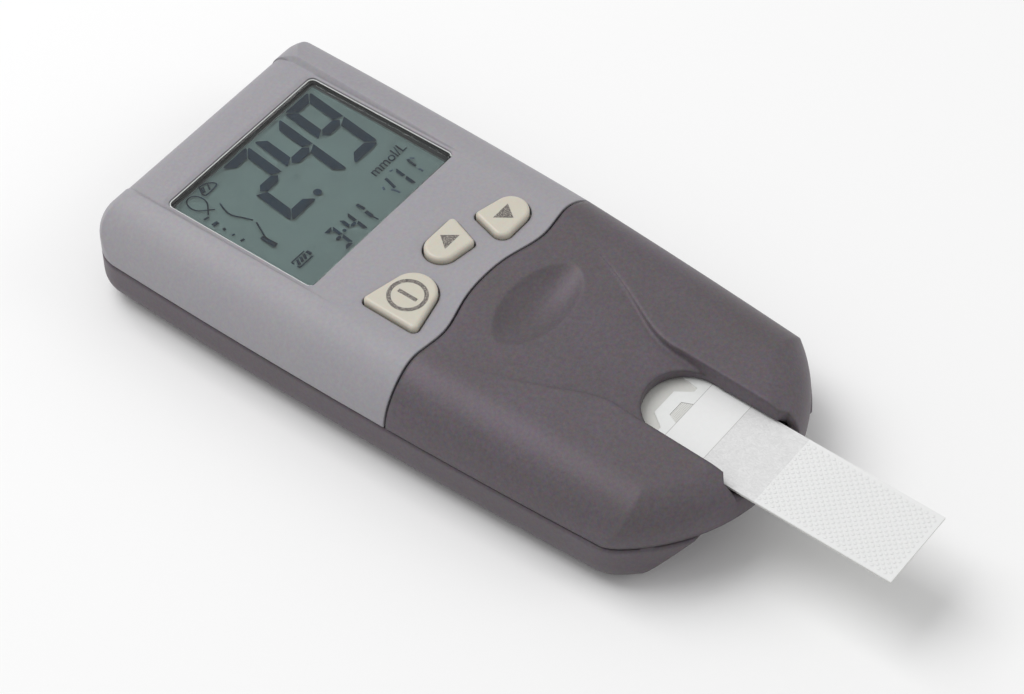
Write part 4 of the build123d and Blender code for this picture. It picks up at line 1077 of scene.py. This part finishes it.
# %% [markdown]
# The embossed grid is one low dome, set out in two staggered grids with array modifiers and joined.

# %% Embossed grip
GRIP_LOW, GRIP_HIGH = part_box("strip_grip")
DOT_PITCH = 1.30 * MM
DOT_RADIUS = 0.36 * MM
DOT_RISE = 0.07 * MM
DOT_SINK = 0.01 * MM
# share of the rise, and how far the ring is drawn in, for each step of a dome
DOT_STEPS = ((0.7, 0.72), (0.3, 0.4))


def dot_grid(x, y, columns, rows):
    """Grid of low domes, its first one at x, y."""
    bpy.ops.object.select_all(action="DESELECT")
    bpy.ops.mesh.primitive_circle_add(vertices=10, radius=DOT_RADIUS, fill_type="NGON", location=(0, 0, 0))
    dot = bpy.context.object
    bpy.ops.object.mode_set(mode="EDIT")
    bpy.ops.mesh.select_all(action="SELECT")
    for rise, narrow in DOT_STEPS:
        bpy.ops.mesh.extrude_region_move(TRANSFORM_OT_translate={"value": (0, 0, DOT_RISE * rise)})
        bpy.ops.transform.resize(value=(narrow, narrow, 1))
    bpy.ops.object.mode_set(mode="OBJECT")
    dot.data.transform(Matrix.Translation((x, y, GRIP_HIGH.z - DOT_SINK)))
    for count, step in ((columns, (DOT_PITCH, 0, 0)), (rows, (0, DOT_PITCH, 0))):
        array = dot.modifiers.new("repeat", "ARRAY")
        array.count = count
        array.use_relative_offset = False
        array.use_constant_offset = True
        array.constant_offset_displace = step
        bpy.ops.object.modifier_apply(modifier=array.name)
    return dot


COLUMNS = int((GRIP_HIGH.x - GRIP_LOW.x - 2 * DOT_RADIUS) / DOT_PITCH)
ROWS = int((GRIP_HIGH.y - GRIP_LOW.y - 2 * DOT_RADIUS) / DOT_PITCH)
first_x = -(COLUMNS - 1) / 2 * DOT_PITCH
first_y = GRIP_HIGH.y - DOT_RADIUS - (ROWS - 1) * DOT_PITCH
grids = [
    dot_grid(first_x, first_y, COLUMNS, ROWS),
    dot_grid(first_x + DOT_PITCH / 2, first_y - DOT_PITCH / 2, COLUMNS - 1, ROWS),
]
grip_dots = join_pieces(grids, "grip_dots")
bpy.ops.object.shade_smooth()
grip_dots.data.materials.append(white_label)
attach(grip_dots, "test_strip")
print("grip", COLUMNS, "by", ROWS, "domes,", len(grip_dots.data.polygons), "faces")

# %% [markdown]
# Where one layer of the strip ends and the next begins there is a thin grey line. It is painted shadow of
# the layer's edge, laid on as a very thin plate.

# %% Painted shadow lines at the seams between the layers
SEAM_WIDTH, SEAM_THICK = 0.12 * MM, 0.01 * MM

seams = []
for name in ("strip_film", "strip_label"):
    seam_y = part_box(name)[0].y
    seams.append(start_plane(0, seam_y, GRIP_HIGH.x - GRIP_LOW.x, SEAM_WIDTH))
strip_seam_shadows = mark_plate(join_pieces(seams, "strip_seam_shadows"), "strip_seam_shadows", GRIP_HIGH.z, SEAM_THICK)
# Grey of these plates: painted shadow along the layer edges.
seam_shadow_grey = grained("seam_shadow_grey", (0.52, 0.52, 0.51), (0.58, 0.58, 0.57), depth=0.0)
strip_seam_shadows.data.materials.append(seam_shadow_grey)
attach(strip_seam_shadows, "test_strip")
print("seams", len(seams))
